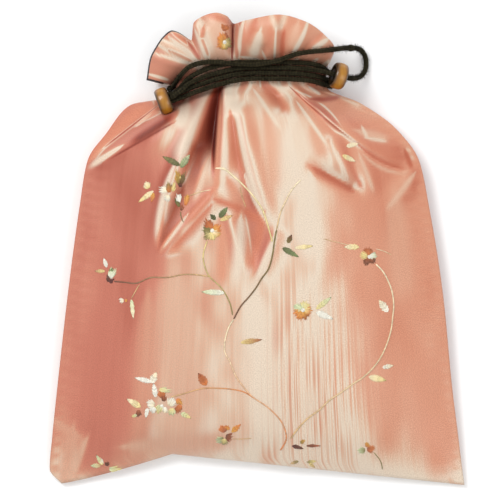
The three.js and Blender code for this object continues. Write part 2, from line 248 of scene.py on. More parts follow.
def fibre_finish(name, dark, light, scale, roughness, specular, painted_crest_light=0.0):
    """Dull yarn: noise on Object coordinates mixes two tones and gives the fibres a fine bump.

    The last argument is the share of the mix that the painted highlight on the raised strands takes, from
    the mark kept with the points."""
    material = simple_material(name, light, roughness)
    nodes, links = material.node_tree.nodes, material.node_tree.links
    shader = nodes["Principled BSDF"]
    place = nodes.new("ShaderNodeTexCoord").outputs["Object"]
    fibre = stretched_noise(nodes, links, place, scale, FIBRE_DETAIL)
    blend = nodes.new("ShaderNodeMix")
    blend.inputs["Factor"].default_value = painted_crest_light
    tint = ramp_node(nodes, [(0, dark), (1, light)])
    links.new(fibre, blend.inputs["A"])
    links.new(mark_node(nodes, "strand"), blend.inputs["B"])
    links.new(blend.outputs["Result"], tint.inputs["Fac"])
    links.new(tint.outputs["Color"], shader.inputs["Base Color"])
    add_bump(nodes, links, fibre, FIBRE_BUMP, FIBRE_RELIEF)
    shader.inputs["Specular IOR Level"].default_value = specular
    return material


# The raised strands get a painted highlight from the strand mark.
black_braid = fibre_finish(
    "black_braid", *BRAID_TONES, scale=BRAID_FIBRES, roughness=0.8, specular=0.1, painted_crest_light=0.85,
)
print("finish:", black_braid.name)

# %% [markdown]
# ## Cords
# One cord runs across the neck, out into a loop at the right, back through the right bead and on into the
# left one. Another crosses the neck from casing to casing, and the two ends of a third run from its right
# into the left bead. A curve object with a bevel would do for a plain string, but a braid has a surface
# of its own, so a round profile is carried along each route, and its radius shrinks between the strands
# of the braid.

# %% Routes of the cords, in metres
CORD_DIAMETER = 0.0033
LOOP_ROUTE = [
    (-0.0594, 0.1076, 0.0093), (-0.0574, 0.1078, 0.0142), (-0.0547, 0.1112, 0.0208),
    (-0.0510, 0.1158, 0.0270), (-0.0452, 0.1212, 0.0298), (-0.0360, 0.1242, 0.0288),
    (-0.0260, 0.1244, 0.0290), (-0.0150, 0.1234, 0.0291), (-0.0020, 0.1228, 0.0288),
    (0.0135, 0.1254, 0.0294), (0.0205, 0.1279, 0.0298), (0.0266, 0.1298, 0.0310), (0.0345, 0.1311, 0.0316),
    (0.0457, 0.1322, 0.0308), (0.0534, 0.1334, 0.0256), (0.0606, 0.1346, 0.0174), (0.0675, 0.1346, 0.0094),
    (0.0706, 0.1333, 0.0057), (0.0729, 0.1298, 0.0030), (0.0737, 0.1250, 0.0020), (0.0729, 0.1202, 0.0030),
    (0.0706, 0.1167, 0.0057), (0.0676, 0.1149, 0.0098), (0.0636, 0.1142, 0.0164), (0.0592, 0.1147, 0.0222),
    (0.0544, 0.1156, 0.0253), (0.0494, 0.1170, 0.0263), (0.0400, 0.1192, 0.0260), (0.0290, 0.1204, 0.0254),
    (0.0120, 0.1210, 0.0253), (-0.0040, 0.1210, 0.0253), (-0.0140, 0.1202, 0.0253),
    (-0.0240, 0.1180, 0.0254), (-0.0340, 0.1152, 0.0260), (-0.0440, 0.1110, 0.0290),
    (-0.0485, 0.1075, 0.0314), (-0.0520, 0.1044, 0.0322), (-0.0558, 0.1016, 0.0321),
    (-0.0657, 0.0972, 0.0318),
]
NECK_ROUTE = [
    (-0.0598, 0.1038, 0.0092), (-0.0582, 0.1038, 0.0130), (-0.0552, 0.1049, 0.0174),
    (-0.0511, 0.1079, 0.0222), (-0.0465, 0.1132, 0.0256), (-0.0360, 0.1192, 0.0256),
    (-0.0260, 0.1223, 0.0253), (-0.0150, 0.1242, 0.0253), (-0.0040, 0.1247, 0.0253),
    (0.0120, 0.1247, 0.0253), (0.0290, 0.1242, 0.0253), (0.0370, 0.1234, 0.0246), (0.0430, 0.1217, 0.0219),
    (0.0462, 0.1198, 0.0175), (0.0486, 0.1180, 0.0132), (0.0502, 0.1170, 0.0093),
]
UPPER_TAIL_ROUTE = [
    (0.0502, 0.1128, 0.0092), (0.0478, 0.1130, 0.0140), (0.0436, 0.1144, 0.0198), (0.0384, 0.1156, 0.0239),
    (0.0300, 0.1167, 0.0253), (0.0122, 0.1173, 0.0253), (-0.0047, 0.1173, 0.0253),
    (-0.0145, 0.1164, 0.0253), (-0.0245, 0.1141, 0.0254), (-0.0340, 0.1112, 0.0260),
    (-0.0430, 0.1079, 0.0271), (-0.0485, 0.1057, 0.0280), (-0.0545, 0.1033, 0.0287),
    (-0.0588, 0.1019, 0.0287), (-0.0663, 0.0989, 0.0287),
]
LOWER_TAIL_ROUTE = [
    (0.0504, 0.1090, 0.0092), (0.0476, 0.1095, 0.0146), (0.0430, 0.1106, 0.0203), (0.0374, 0.1120, 0.0239),
    (0.0294, 0.1130, 0.0253), (0.0122, 0.1136, 0.0253), (-0.0047, 0.1136, 0.0253),
    (-0.0140, 0.1125, 0.0253), (-0.0235, 0.1103, 0.0257), (-0.0334, 0.1073, 0.0272),
    (-0.0419, 0.1043, 0.0283), (-0.0480, 0.1019, 0.0280), (-0.0532, 0.0999, 0.0287),
    (-0.0574, 0.0983, 0.0287), (-0.0651, 0.0955, 0.0287),
]
route_points = [len(route) for route in (LOOP_ROUTE, NECK_ROUTE, UPPER_TAIL_ROUTE, LOWER_TAIL_ROUTE)]
print("routes of", route_points, "points")

# %% A smooth path
SPAN_CUTS = 24


def smooth_path(route, step):
    """Evenly spaced points on the centripetal Catmull-Rom curve through a route, and its length.

    Each span is a cubic whose end slopes come from the neighbouring points, weighted by the square roots of
    their distances; the curve is then measured and cut into equal steps."""
    places = np.array(route, float)
    places = np.vstack([2 * places[0] - places[1], places, 2 * places[-1] - places[-2]])
    gaps = np.sqrt(np.linalg.norm(np.diff(places, axis=0), axis=1))[:, None]
    slopes = np.diff(places, axis=0) / gaps
    chords = (places[2:] - places[:-2]) / (gaps[:-1] + gaps[1:])
    tangents = slopes[:-1] - chords + slopes[1:]
    share = np.linspace(0, 1, SPAN_CUTS, endpoint=False)[None, :, None]
    start, end = places[1:-2, None], places[2:-1, None]
    leave, arrive = (tangents[:-1] * gaps[1:-1])[:, None], (tangents[1:] * gaps[1:-1])[:, None]
    curve = (
        start * (1 + 2 * share) * (1 - share) ** 2
        + leave * share * (1 - share) ** 2
        + end * share**2 * (3 - 2 * share)
        + arrive * share**2 * (share - 1)
    ).reshape(-1, 3)
    curve = np.vstack([curve, places[-2]])
    travelled = np.concatenate([[0], np.cumsum(np.linalg.norm(np.diff(curve, axis=0), axis=1))])
    count = int(round(travelled[-1] / step)) + 1
    marks = np.linspace(0, travelled[-1], count)
    even = np.stack([np.interp(marks, travelled, curve[:, axis]) for axis in range(3)], axis=1)
    return even, travelled[-1]


def frames_along(path, upward):
    """Tangent, sideways and upright directions along a path: sideways is the tangent crossed with upward."""
    tangent = unit(np.gradient(path, axis=-2))
    side = unit(np.cross(tangent, upward))
    return tangent, side, np.cross(side, tangent)


print("loop of", round(smooth_path(LOOP_ROUTE, CORD_DIAMETER)[1], 4), "metres")

# %% Braided tubes
BRAID_STRANDS = 2
BRAID_PITCH = 0.0080
BRAID_RELIEF = 0.22
BRAID_FULL = 1.05
KNOT_SWELL, KNOT_HALF = 0.42, 0.0019
LOOP_KNOT = (0.0630, 0.1346, 0.0148)
CORD_SIDES = 16
CORD_STEP = 0.0005


def braided_cord(name, route, knot=None):
    """A round tube along a route, raised along two sets of helices like the strands of a braid.

    The strands are sines of the turn round the cord plus or minus the travel along it, the higher on top.
    A knot, if there is one, swells the tube like a flat-topped bell where the route passes its place. The
    strand mark, from which the finish paints a highlight, is highest where both sets meet on top."""
    path, length = smooth_path(route, CORD_STEP)
    _, side, upright = frames_along(path, (0, 0, 1))
    turn = np.linspace(0, 2 * np.pi, CORD_SIDES, endpoint=False)[None, :]
    travel = (np.arange(len(path)) * CORD_STEP / BRAID_PITCH * 2 * np.pi)[:, None]
    rising = np.sin(BRAID_STRANDS * turn + BRAID_STRANDS * travel)
    falling = np.sin(BRAID_STRANDS * turn - BRAID_STRANDS * travel)
    strand = (1 + np.maximum(rising, falling)) / 2
    relief = BRAID_FULL - BRAID_RELIEF * (1 - strand)
    if knot is not None:
        away = np.linalg.norm(path - knot, axis=1)[:, None]
        relief = relief + KNOT_SWELL * np.exp(-((away / KNOT_HALF) ** 4))
    radius = (CORD_DIAMETER / 2 * relief)[..., None]
    around = np.cos(turn)[..., None] * side[:, None] + np.sin(turn)[..., None] * upright[:, None]
    rings = path[:, None] + radius * around
    points = np.vstack([rings.reshape(-1, 3), path[:1], path[-1:]])
    body = grid_quads(len(path), CORD_SIDES, closed=True)
    first, last = np.arange(CORD_SIDES), (len(path) - 1) * CORD_SIDES + np.arange(CORD_SIDES)
    tips = len(path) * CORD_SIDES
    start_cap = np.stack([np.full(CORD_SIDES, tips), np.roll(first, -1), first], axis=1)
    end_cap = np.stack([np.full(CORD_SIDES, tips + 1), last, np.roll(last, -1)], axis=1)
    piece = mesh_object(name, points, body, np.vstack([start_cap, end_cap]))
    # Mark for the painted highlight on the braid's crests.
    crest = np.concatenate([(1 + rising * falling).ravel() / 2, [0, 0]]).astype(np.float32)
    piece.data.attributes.new("strand", "FLOAT", "POINT").data.foreach_set("value", crest)
    return piece, path, length


loop_cord, loop_path, loop_length = braided_cord("loop_braid", LOOP_ROUTE, LOOP_KNOT)
neck_cord, neck_path, neck_length = braided_cord("neck_braid", NECK_ROUTE)
upper_tail, upper_path, upper_length = braided_cord("upper_tail_braid", UPPER_TAIL_ROUTE)
lower_tail, lower_path, lower_length = braided_cord("lower_tail_braid", LOWER_TAIL_ROUTE)
dress(loop_cord, "cord", black_braid, "loop_cord")
dress(neck_cord, "cord", black_braid, "neck_cord")
dress(upper_tail, "cord", black_braid, "tail_cord_upper")
dress(lower_tail, "cord", black_braid, "tail_cord_lower")
print("cords of", np.round([loop_length, neck_length, upper_length, lower_length], 4), "metres")

# %% [markdown]
# ## Fuzz of the cords
# Worn yarn sheds short fibres, which close the gaps between the strands to one black bundle. A particle
# system would grow them too, but plain arrays keep them exact: each fibre is a thin three-sided spike
# with one bend. They grow on the upper half of the cords only, since the lower half lies on the silk.

# %% Loose fibres along the cords
FUZZ_PER_METRE = 11000
FUZZ_LENGTHS, FUZZ_SHARES = (0.0012, 0.0036), (0.4, 1)
FUZZ_HALF_WIDTH, FUZZ_TAPER = 0.00012, 0.8
FUZZ_BELOW, FUZZ_LEAN = 0.1, 1.4
FUZZ_ROOT, FUZZ_BEND = 0.42, 0.4
fuzz_random = np.random.default_rng(3)


def cord_fuzz(name, paths):
    """Spikes from random places on the cords: out from the cord for half their length, then along it."""
    made = []
    for path in paths:
        count = int(FUZZ_PER_METRE * CORD_STEP * len(path))
        at = fuzz_random.integers(2, len(path) - 2, count)
        tangent, side, upright = (part[at] for part in frames_along(path, (0, 0, 1)))
        turn = fuzz_random.uniform(-FUZZ_BELOW, np.pi + FUZZ_BELOW, (count, 1))
        outward = np.cos(turn) * side + np.sin(turn) * upright
        lean = tangent * fuzz_random.uniform(-FUZZ_LEAN, FUZZ_LEAN, (count, 1))
        whole = fuzz_random.uniform(*FUZZ_LENGTHS, (count, 1))
        length = whole * fuzz_random.uniform(*FUZZ_SHARES, (count, 1))
        root = path[at] + outward * CORD_DIAMETER * FUZZ_ROOT
        bend = root + unit(outward + FUZZ_BEND * lean) * length / 2
        tip = bend + unit(FUZZ_BEND * outward + lean) * length / 2
        made.append((root, bend, tip, side, upright))
    root, bend, tip, side, upright = (np.concatenate(column) for column in zip(*made))
    turn = np.arange(3) * 2 * np.pi / 3
    ring = np.cos(turn)[:, None] * side[:, None] + np.sin(turn)[:, None] * upright[:, None]
    ring = ring * FUZZ_HALF_WIDTH
    points = np.concatenate([root[:, None] + ring, bend[:, None] + FUZZ_TAPER * ring, tip[:, None]], axis=1)
    offsets = (np.arange(len(root)) * 7)[:, None, None]
    quads = np.array([(0, 1, 4, 3), (1, 2, 5, 4), (2, 0, 3, 5)])[None] + offsets
    triangles = np.array([(2, 1, 0), (3, 4, 6), (4, 5, 6), (5, 3, 6)])[None] + offsets
    return mesh_object(name, points.reshape(-1, 3), quads.reshape(-1, 4), triangles.reshape(-1, 3))


fuzz = cord_fuzz("cord_fuzz", (loop_path, neck_path, upper_path, lower_path))
dress(fuzz, "cord", black_braid)
print("fuzz of", len(fuzz.data.polygons), "faces")

# %% [markdown]
# ## Beads
# A turned wooden bead holds the cords at each end of the neck. It is a surface of revolution: a rounded
# profile is carried round the axis of its hole. The wood is amber under a clear polish, with fine streaks
# that run along the grain; painted shade darkens it in the hole and towards both ends, and a painted
# highlight lightens it round the outside.

# %% Polished amber wood
WOOD_BASE = (0.35, 0.15, 0.03)
WOOD_TONES = [(0.05, (26, 16, 2)), (0.30, (84, 52, 4)), (0.60, (146, 94, 8)), (0.95, (188, 134, 24))]
WOOD_GRAIN, WOOD_GRAIN_TURN, WOOD_DETAIL, WOOD_STREAKS = (700, 110, 250), 0.35, 4, 0.30
WOOD_ROUGHNESS, WOOD_COAT, WOOD_COAT_ROUGHNESS = 0.35, 0.35, 0.12


def times_plus(nodes, links, value, times, plus):
    """Output of a node for value times a number plus another number or another node's output."""
    node = nodes.new("ShaderNodeMath")
    node.operation = "MULTIPLY_ADD"
    node.inputs[1].default_value = times
    links.new(value, node.inputs[0])
    if isinstance(plus, float):
        node.inputs[2].default_value = plus
    else:
        links.new(plus, node.inputs[2])
    return node.outputs[0]


def bead_finish():
    """Stretched noise plus the shade kept with the points picks the tone; a clear coat is the polish."""
    material = simple_material("amber_wood", WOOD_BASE, WOOD_ROUGHNESS)
    nodes, links = material.node_tree.nodes, material.node_tree.links
    shader = nodes["Principled BSDF"]
    place = nodes.new("ShaderNodeTexCoord").outputs["Object"]
    grain = stretched_noise(nodes, links, place, WOOD_GRAIN, WOOD_DETAIL, WOOD_GRAIN_TURN)
    tone = times_plus(nodes, links, grain, WOOD_STREAKS, mark_node(nodes, "bead_shade"))
    tint = ramp_node(nodes, [(position, linear(colour)) for position, colour in WOOD_TONES])
    links.new(tone, tint.inputs["Fac"])
    links.new(tint.outputs["Color"], shader.inputs["Base Color"])
    shader.inputs["Coat Weight"].default_value = WOOD_COAT
    shader.inputs["Coat Roughness"].default_value = WOOD_COAT_ROUGHNESS
    return material


amber_wood = bead_finish()
print("finish:", amber_wood.name)

# %% Two turned beads
BEAD_HOLE = 0.0044
BEAD_RADIUS = 0.0090
BEAD_HALF = 0.0044
BEAD_SQUARENESS = 2.4
BEAD_TURNS = 64
BEAD_PROFILE = 40
SHADE_MIDDLE, SHADE_HOLE, SHADE_RIM, SHADE_ENDS = 0.46, 0.30, 0.10, 0.60


def turned_bead(name, centre, axis):
    """A closed profile, rounder than a square and squarer than a circle, carried round the hole's axis."""
    turn = np.linspace(0, 2 * np.pi, BEAD_TURNS, endpoint=False)[:, None]
    lap = np.linspace(0, 2 * np.pi, BEAD_PROFILE, endpoint=False)[None, :]
    power = 2 / BEAD_SQUARENESS
    out = np.sign(np.cos(lap)) * np.abs(np.cos(lap)) ** power
    along = np.sign(np.sin(lap)) * np.abs(np.sin(lap)) ** power
    radius = (BEAD_HOLE + BEAD_RADIUS) / 2 + (BEAD_RADIUS - BEAD_HOLE) / 2 * out
    height = BEAD_HALF * along + 0 * turn
    axis = unit(np.array(axis, float))
    across = unit(np.cross(axis, (0, 0, 1)))
    rise = np.cross(across, axis)
    around = np.cos(turn)[..., None] * across + np.sin(turn)[..., None] * rise
    points = np.array(centre) + radius[..., None] * around + height[..., None] * axis
    quads = grid_quads(BEAD_TURNS + 1, BEAD_PROFILE, closed=True) % (BEAD_TURNS * BEAD_PROFILE)
    piece = mesh_object(name, points.reshape(-1, 3), quads[:, ::-1])
    # Painted shade: darker in the hole and towards both ends; painted highlight: lighter round the outside.
    shade = SHADE_MIDDLE - SHADE_HOLE * np.clip(-out, 0, 1) + SHADE_RIM * out - SHADE_ENDS * along**2
    shade = np.broadcast_to(shade, points.shape[:2])
    piece.data.attributes.new("bead_shade", "FLOAT", "POINT").data.foreach_set("value", shade.ravel())
    return piece


left_bead = turned_bead("left_wooden_bead", centre=(-0.0623, 0.0985, 0.0297), axis=(0.938, 0.347, 0.0))
right_bead = turned_bead("right_wooden_bead", centre=(0.0546, 0.1154, 0.0253), axis=(0.92, -0.28, -0.26))
dress(left_bead, "bead_wood", amber_wood, "left_bead")
dress(right_bead, "bead_wood", amber_wood, "right_bead")
print("beads of", len(left_bead.data.vertices), "points each")

# %% [markdown]
# ## What the cords are
# A cord leaves the casing at its first point. It ends in the casing again or in a bead.

# %% The four cords
print("four cords")

# %% [markdown]
# ## The cut of the cloth
# Front and back are each one length of silk, sewn together along the sides and the bottom. A simulation
# could gather and drape them, but the folds have to be those of this pouch, so the cloth is a formula: s
# runs across it from -1 to 1 and up runs along it from the bottom seam to the hem, in millimetres. Short
# tables say where each section lies, and a smooth curve that never overshoots joins their rows.

# %% Sections of the pouch, in millimetres
CASING_LOW, CASING_TOP, HEM = 286.0, 302.0, 347.0


def table_of(columns, rows):
    """A dictionary with one array for each named column of a short table."""
    return dict(zip(columns.split(), np.array(rows, float).T))


SECTIONS = table_of("up left_x left_y right_x right_y mid_y seam crown left_slope right_slope", [
    (0, -132, -158.5, 140, -159.6, -159, 2.6, 0, 50, 50),
    (9, -139.9, -149, 138.6, -150, -150, 3.2, 7, 52, 52),
    (32, -138, -126, 135.6, -126, -126, 5, 21, 56, 56),
    (64, -134.5, -93, 131.4, -93, -92, 7, 30, 60, 60),
    (126, -127.4, -31, 125.2, -31, -31, 9, 35, 62, 62),
    (188, -119.3, 29, 115.6, 29, 29, 10, 36, 56, 58),
    (222, -114, 59, 109, 59, 61, 11, 34, 46, 54),
    (250, -101, 78, 93, 81, 86, 11, 27, 36, 54),
    (270, -84, 97, 69, 98, 101, 10.5, 17, 32, 58),
    (CASING_LOW, -57, 102, 47.5, 108, 112, 9, 11.4, 17, 17),
    (CASING_TOP, -55.5, 109.5, 46, 121, 126, 9, 11.4, 17, 17),
])
FRONT_HEM = table_of("s x y z", [
    (-1.0, -73, 114, 17), (-0.86, -71, 126, 22), (-0.7, -56.5, 145, 26), (-0.54, -44, 139.5, 21),
    (-0.46, -42.5, 150.5, 27), (-0.32, -27.5, 157.2, 32), (-0.22, -20.2, 155.2, 30),
    (-0.15, -15.2, 150.4, 26), (-0.04, -8, 152, 31), (0.2, 14, 155.8, 34), (0.46, 32, 151.4, 31),
    (0.72, 46, 142, 26), (0.9, 52, 133.4, 19), (1.0, 49, 125, 11),
])
BACK_HEM = table_of("s x y z", [
    (-1.0, -69, 112, 3), (-0.7, -59, 137, 0), (-0.45, -43, 139.5, 5), (-0.2, -19, 146, 0),
    (0.1, 6, 149, 5), (0.4, 26, 145, 0), (0.7, 41, 134, 4), (1.0, 47, 121, 3),
])
print(len(SECTIONS["up"]), "sections,", len(FRONT_HEM["s"]), "places along the front hem")

# %% Smooth steps and columns


def clamp(value):
    """Value kept between 0 and 1."""
    return np.clip(value, 0, 1)


def ease(value):
    """Slow start and slow end between 0 and 1: three squares minus two cubes."""
    return clamp(value) ** 2 * (3 - 2 * clamp(value))


def mix(first, second, share):
    """First at share 0, second at share 1."""
    return first + (second - first) * share


def between(table, key, column, place):
    """A column at any place: cubics whose slope at a row is the harmonic mean of the slopes beside it."""
    knots, values = table[key], table[column]
    steps = np.diff(knots)
    slopes = np.diff(values) / steps
    before, after = slopes[:-1], slopes[1:]
    total = np.where(before * after > 0, before + after, 1)
    inner = np.where(before * after > 0, 2 * before * after / total, 0)
    knot_slopes = np.concatenate([slopes[:1], inner, slopes[-1:]])
    span = np.clip(np.searchsorted(knots, place, side="left") - 1, 0, len(knots) - 2)
    share = clamp((place - knots[span]) / steps[span])
    start, end = values[span], values[span + 1]
    leave, arrive = knot_slopes[span] * steps[span], knot_slopes[span + 1] * steps[span]
    square = 3 * (end - start) - 2 * leave - arrive
    cube = 2 * (start - end) + leave + arrive
    return start + share * leave + share**2 * square + share**3 * cube


print("crown half way up:", float(between(SECTIONS, "up", "crown", np.array(173.0))), "mm")

# %% Plan of a section
LIFT_PEAK = -0.45
BOTTOM_LIFT, BOTTOM_RISE, LIFT_REACH = 20.4, 5.0, 90.0
LIFT_HOLLOW, RISE_HOLLOW = 1.2, 1.3


def bottom_lift(s):
    """How far the bottom seam is drawn up the pouch and off the ground.

    The first is two slopes that meet in a peak, the left one a little hollow; the second is eased."""
    left, right = clamp((s + 1) / (LIFT_PEAK + 1)), clamp((1 - s) / (1 - LIFT_PEAK))
    tent = np.where(s < LIFT_PEAK, left**LIFT_HOLLOW, right)
    swell = np.where(s < LIFT_PEAK, ease(left), np.sin(right * np.pi / 2) ** RISE_HOLLOW)
    return BOTTOM_LIFT * tent, BOTTOM_RISE * swell


def plan(s, up):
    """Place of a point in plan, height of the side seam there, distance in from the side, crown and slope.

    Across the pouch x is a straight mix of the sides and y a parabola through the sides and the middle."""
    at = {name: between(SECTIONS, "up", name, up) for name in SECTIONS}
    lift, rise = (move * (1 - clamp(up / LIFT_REACH)) ** 2 for move in bottom_lift(s))
    x = mix(at["left_x"], at["right_x"], (s + 1) / 2)
    sides = at["left_y"] * (s * s - s) / 2 + at["right_y"] * (s * s + s) / 2
    y = at["mid_y"] * (1 - s * s) + sides + lift
    inward = (1 - np.abs(s)) * (at["right_x"] - at["left_x"]) / 2
    slope = np.where(s < 0, at["left_slope"], at["right_slope"])
    return x, y, at["seam"] + rise, inward, at["crown"], slope


print("middle of the bottom seam:", [round(float(v), 1) for v in plan(np.array(0.0), np.array(0.0))[:2]])

# %% [markdown]
# ## The folds
# Gathering the neck throws the front into folds that fan out from it. Each is a row in a table, from a
# place near the neck to the place where it dies out, both read off the picture by column and row. A fold
# has a height, or below zero the depth of a crease, and a breadth on each side, so that one flank can be
# steeper than the other. Sculpting by hand would do too, but rows like these can be read and changed one
# by one.

# %% Folds of the front and of the frill
FOLD_COLUMNS = "from_column from_row to_column to_row height left right bow"
BODY_FOLDS = table_of(FOLD_COLUMNS, [
    (180, 98, 153, 108, -8, 9, 9, 0),
    (175, 121, 88, 172, 4.6, 6, 12, 0),
    (217, 86, 156, 252, 5.2, 6, 9, 5),
    (197, 150, 161, 246, -4, 6, 6, 0),
    (210, 200, 158, 257, 2.6, 4, 8, 0),
    (222, 83, 213, 184, -9, 11, 1.6, 2),
    (226, 100, 221, 194, 2.2, 3, 6, 0),
    (233, 122, 241, 186, -2.8, 4, 4, 0),
    (237, 115, 273, 246, 3.6, 5, 8, 0),
    (243, 200, 256, 276, -3.6, 7, 7, 0),
    (231, 222, 248, 280, 1.6, 5, 4, 0),
    (273, 236, 256, 284, 1.6, 4, 6, 0),
    (263, 85, 284, 115, -3.8, 5, 4.5, -2),
    (278, 87, 303, 114, 1.8, 5, 6, 0),
    (298, 88, 416, 171, 4, 3.6, 10, 6.6),
    (298, 86, 340, 95, -2.6, 5, 5, 4),
    (406, 149, 414, 169, -2.5, 6, 5, 0),
    (416, 171, 385, 213, 1.8, 7, 7, 0),
    (333, 143, 350, 184, 2, 5, 5, 0),
    (350, 187, 303, 163, -4, 6, 4, 0),
    (352, 166, 362, 206, -0.9, 5, 5, 0),
    (362, 157, 374, 202, 0.9, 6, 6, 0),
    (90, 434, 72, 481, -2, 16, 8, 0),
])
FRILL_FOLDS = table_of(FOLD_COLUMNS, [
    (152, 58, 190, 72, 1.2, 3, 3, 0),
    (155, 48, 192, 69, -1.4, 3, 3, 0),
    (161, 41, 197, 68, 1.4, 3, 3, 0),
    (171, 38, 203, 66, -1.2, 3, 3, 0),
    (196, 32, 208, 63, 1.3, 3, 3, 0),
    (202, 25, 206, 52, -1.4, 2.6, 2.6, 0),
    (206, 35, 219, 60, 1.3, 2.8, 3, 0),
    (233, 18, 233, 70, -4, 2.8, 1.6, 0),
    (242, 21, 244, 62, 1.8, 3, 6, 0),
    (263.5, 50, 263.5, 70, -2.2, 2.4, 2.4, 0),
    (275, 22, 274, 64, 1.4, 3, 3, 0),
    (282, 26, 280, 62, -1.2, 3, 3.5, 0),
    (307, 22, 288, 62, 1.8, 5, 5, 0),
    (321, 35, 296, 58, -1.2, 4, 3, 0),
])
print(len(BODY_FOLDS["height"]), "folds in the front,", len(FRILL_FOLDS["height"]), "in the frill")

# %% Height that the folds add
RIDGE_ROUNDNESS, CREASE_ROUNDNESS = 2.3, 1.5
FOLD_KEEPS = 0.5


def each_row(table):
    """The rows of a table one after the other, each as names and numbers."""
    for row in range(len(next(iter(table.values())))):
        yield {name: column[row] for name, column in table.items()}


def fold_share(x, y, fold, power, keeps, ends=1.0):
    """How far places in plan belong to a fold, from 0 to 1.

    The crest is a line, bowed sideways by a parabola. Off the crest the share falls like a bell: the
    exponential of minus a power of the distance over the breadth of that flank. Along the crest it stays
    whole over the part that the fold keeps and then fades. The breadths narrow to the ends' share of
    themselves at both ends, like the root of a sine."""
    start = np.array(from_photo(fold["from_column"], fold["from_row"]))
    reach = np.array(from_photo(fold["to_column"], fold["to_row"])) - start
    length = np.hypot(*reach)
    along = ((x - start[0]) * reach[0] + (y - start[1]) * reach[1]) / length**2
    off = ((x - start[0]) * reach[1] - (y - start[1]) * reach[0]) / length
    off = off - fold["bow"] * 4 * clamp(along) * (1 - clamp(along))
    past = np.maximum(0, np.maximum(-along, along - 1)) * length
    spindle = mix(ends, 1, np.sqrt(np.sin(np.pi * clamp(along))))
    breadth = np.where(off > 0, fold["left"], fold["right"]) * spindle
    distance = np.hypot(off / breadth, 2 * past / (fold["left"] + fold["right"]))
    return (1 - ease((along - keeps) / (1 - keeps))) * np.exp(-(distance**power))


def fold_heights(x, y, folds, highest=np.inf):
    """Sum of the folds at places in plan, or only of those with a height below the highest wanted."""
    total = np.zeros(np.broadcast(x, y).shape)
    for fold in each_row(folds):
        if fold["height"] < highest:
            power = RIDGE_ROUNDNESS if fold["height"] > 0 else CREASE_ROUNDNESS
            total = total + fold["height"] * fold_share(x, y, fold, power, FOLD_KEEPS)
    return total


print("deepest crease at its top:", round(float(fold_heights(*from_photo(216, 117), BODY_FOLDS)), 1), "mm")

# %% [markdown]
# ## The front
# Seen in section the front rises from each side seam on a nearly straight flank and turns over into a
# broad top, more sharply on the left than on the right. Small gathers crowd the casing, and above it the
# frill spreads into lobes. Nearly the same formula gives the solid model its form, with fewer and softer
# folds.

# %% The front as a formula
SEAM_GAP = 0.4
GATHERS = 8
FRONT_GATHER, BACK_GATHER = 0.45, 1.9
GATHER_REACH, SIDE_EDGE, FOLD_FADE = 24.0, 12.0, 14.0
FRILL_ARCH, FRILL_FOLDS_FROM = 4.0, 0.25
LEFT_BEND, RIGHT_BEND, BEND_CHANGE = 0.07, 0.16, 0.3
ARCH_PEAK, ARCH_DROP = 0.15, 10.0
CROWN_MOST = SECTIONS["crown"].max()


def soft_ramp(share, bend):
    """A straight rise to 1 that turns over softly: the soft minimum of share and 1."""
    return -bend * np.log(np.exp(-share / bend) + np.exp(-1 / bend))


def gathers(s, up, inward, depth):
    """Small pleats along the casing: a cosine across the cloth that dies out below it and at the sides."""
    reach = np.exp(-((np.maximum(0, CASING_LOW - up) / GATHER_REACH) ** 2))
    return depth * np.cos(GATHERS * np.pi * s) * reach * ease(inward / SIDE_EDGE)


CRUMPLES, CRUMPLE_SHORTEST, CRUMPLE_LONGEST, CRUMPLE_SPREAD = 26, 16, 55, 0.9
crumple_random = np.random.default_rng(5)
CRUMPLE_LENGTHS = crumple_random.uniform(CRUMPLE_SHORTEST, CRUMPLE_LONGEST, CRUMPLES)
CRUMPLE_TURNS = crumple_random.uniform(-CRUMPLE_SPREAD, CRUMPLE_SPREAD, CRUMPLES)
CRUMPLE_STARTS = crumple_random.uniform(0, 2 * np.pi, CRUMPLES)
CRUMPLE_STEEPNESS = 0.011


def crumples(x, y):
    """Slight unevenness of used cloth: a sum of long waves in many directions, all equally steep."""
    total = np.zeros(np.broadcast(x, y).shape)
    for length, turn, start in zip(CRUMPLE_LENGTHS, CRUMPLE_TURNS, CRUMPLE_STARTS):
        travel = (x * np.cos(turn) + y * np.sin(turn)) * 2 * np.pi / length
        total = total + CRUMPLE_STEEPNESS * length / (2 * np.pi) * np.sin(travel + start)
    return total


PUCKER_LENGTH, PUCKER_DEPTH, PUCKER_REACH = 7.5, 0.28, 7.0
WANDER, WANDER_LENGTH, WANDER_BY_SIDE = 1.3, 11, 4


def puckers(s, up, inward):
    """Ripples that the stitches of the side seam draw into the cloth: a wave along it, gone further in."""
    wander = WANDER * np.sin(up / WANDER_LENGTH + WANDER_BY_SIDE * np.sign(s))
    near_seam = np.exp(-((inward / PUCKER_REACH - 1) ** 2))
    return PUCKER_DEPTH * np.sin(2 * np.pi * up / PUCKER_LENGTH + wander) * near_seam


def front_body(s, up):
    """Underside of the front below the frill: seam, flank and crown, gathers, and the long folds."""
    x, y, seam, inward, crown, slope = plan(s, up)
    share = inward / slope
    to_right = ease((s + BEND_CHANGE) / (2 * BEND_CHANGE))
    ramp = mix(soft_ramp(share, LEFT_BEND), soft_ramp(share, RIGHT_BEND), to_right)
    faded = ease((CASING_LOW - up) / FOLD_FADE) * ease(inward / SIDE_EDGE)
    fold = (fold_heights(x, y, BODY_FOLDS) + crumples(x, y)) * faded
    arch = ARCH_DROP * (s - ARCH_PEAK) ** 2 * crown / CROWN_MOST
    dome = np.maximum(crown * ramp - arch * clamp(share), 0)
    small = gathers(s, up, inward, FRONT_GATHER) + puckers(s, up, inward) * ease(inward / PUCKER_REACH)
    return x, y, seam + SEAM_GAP / 2 + dome + small + fold


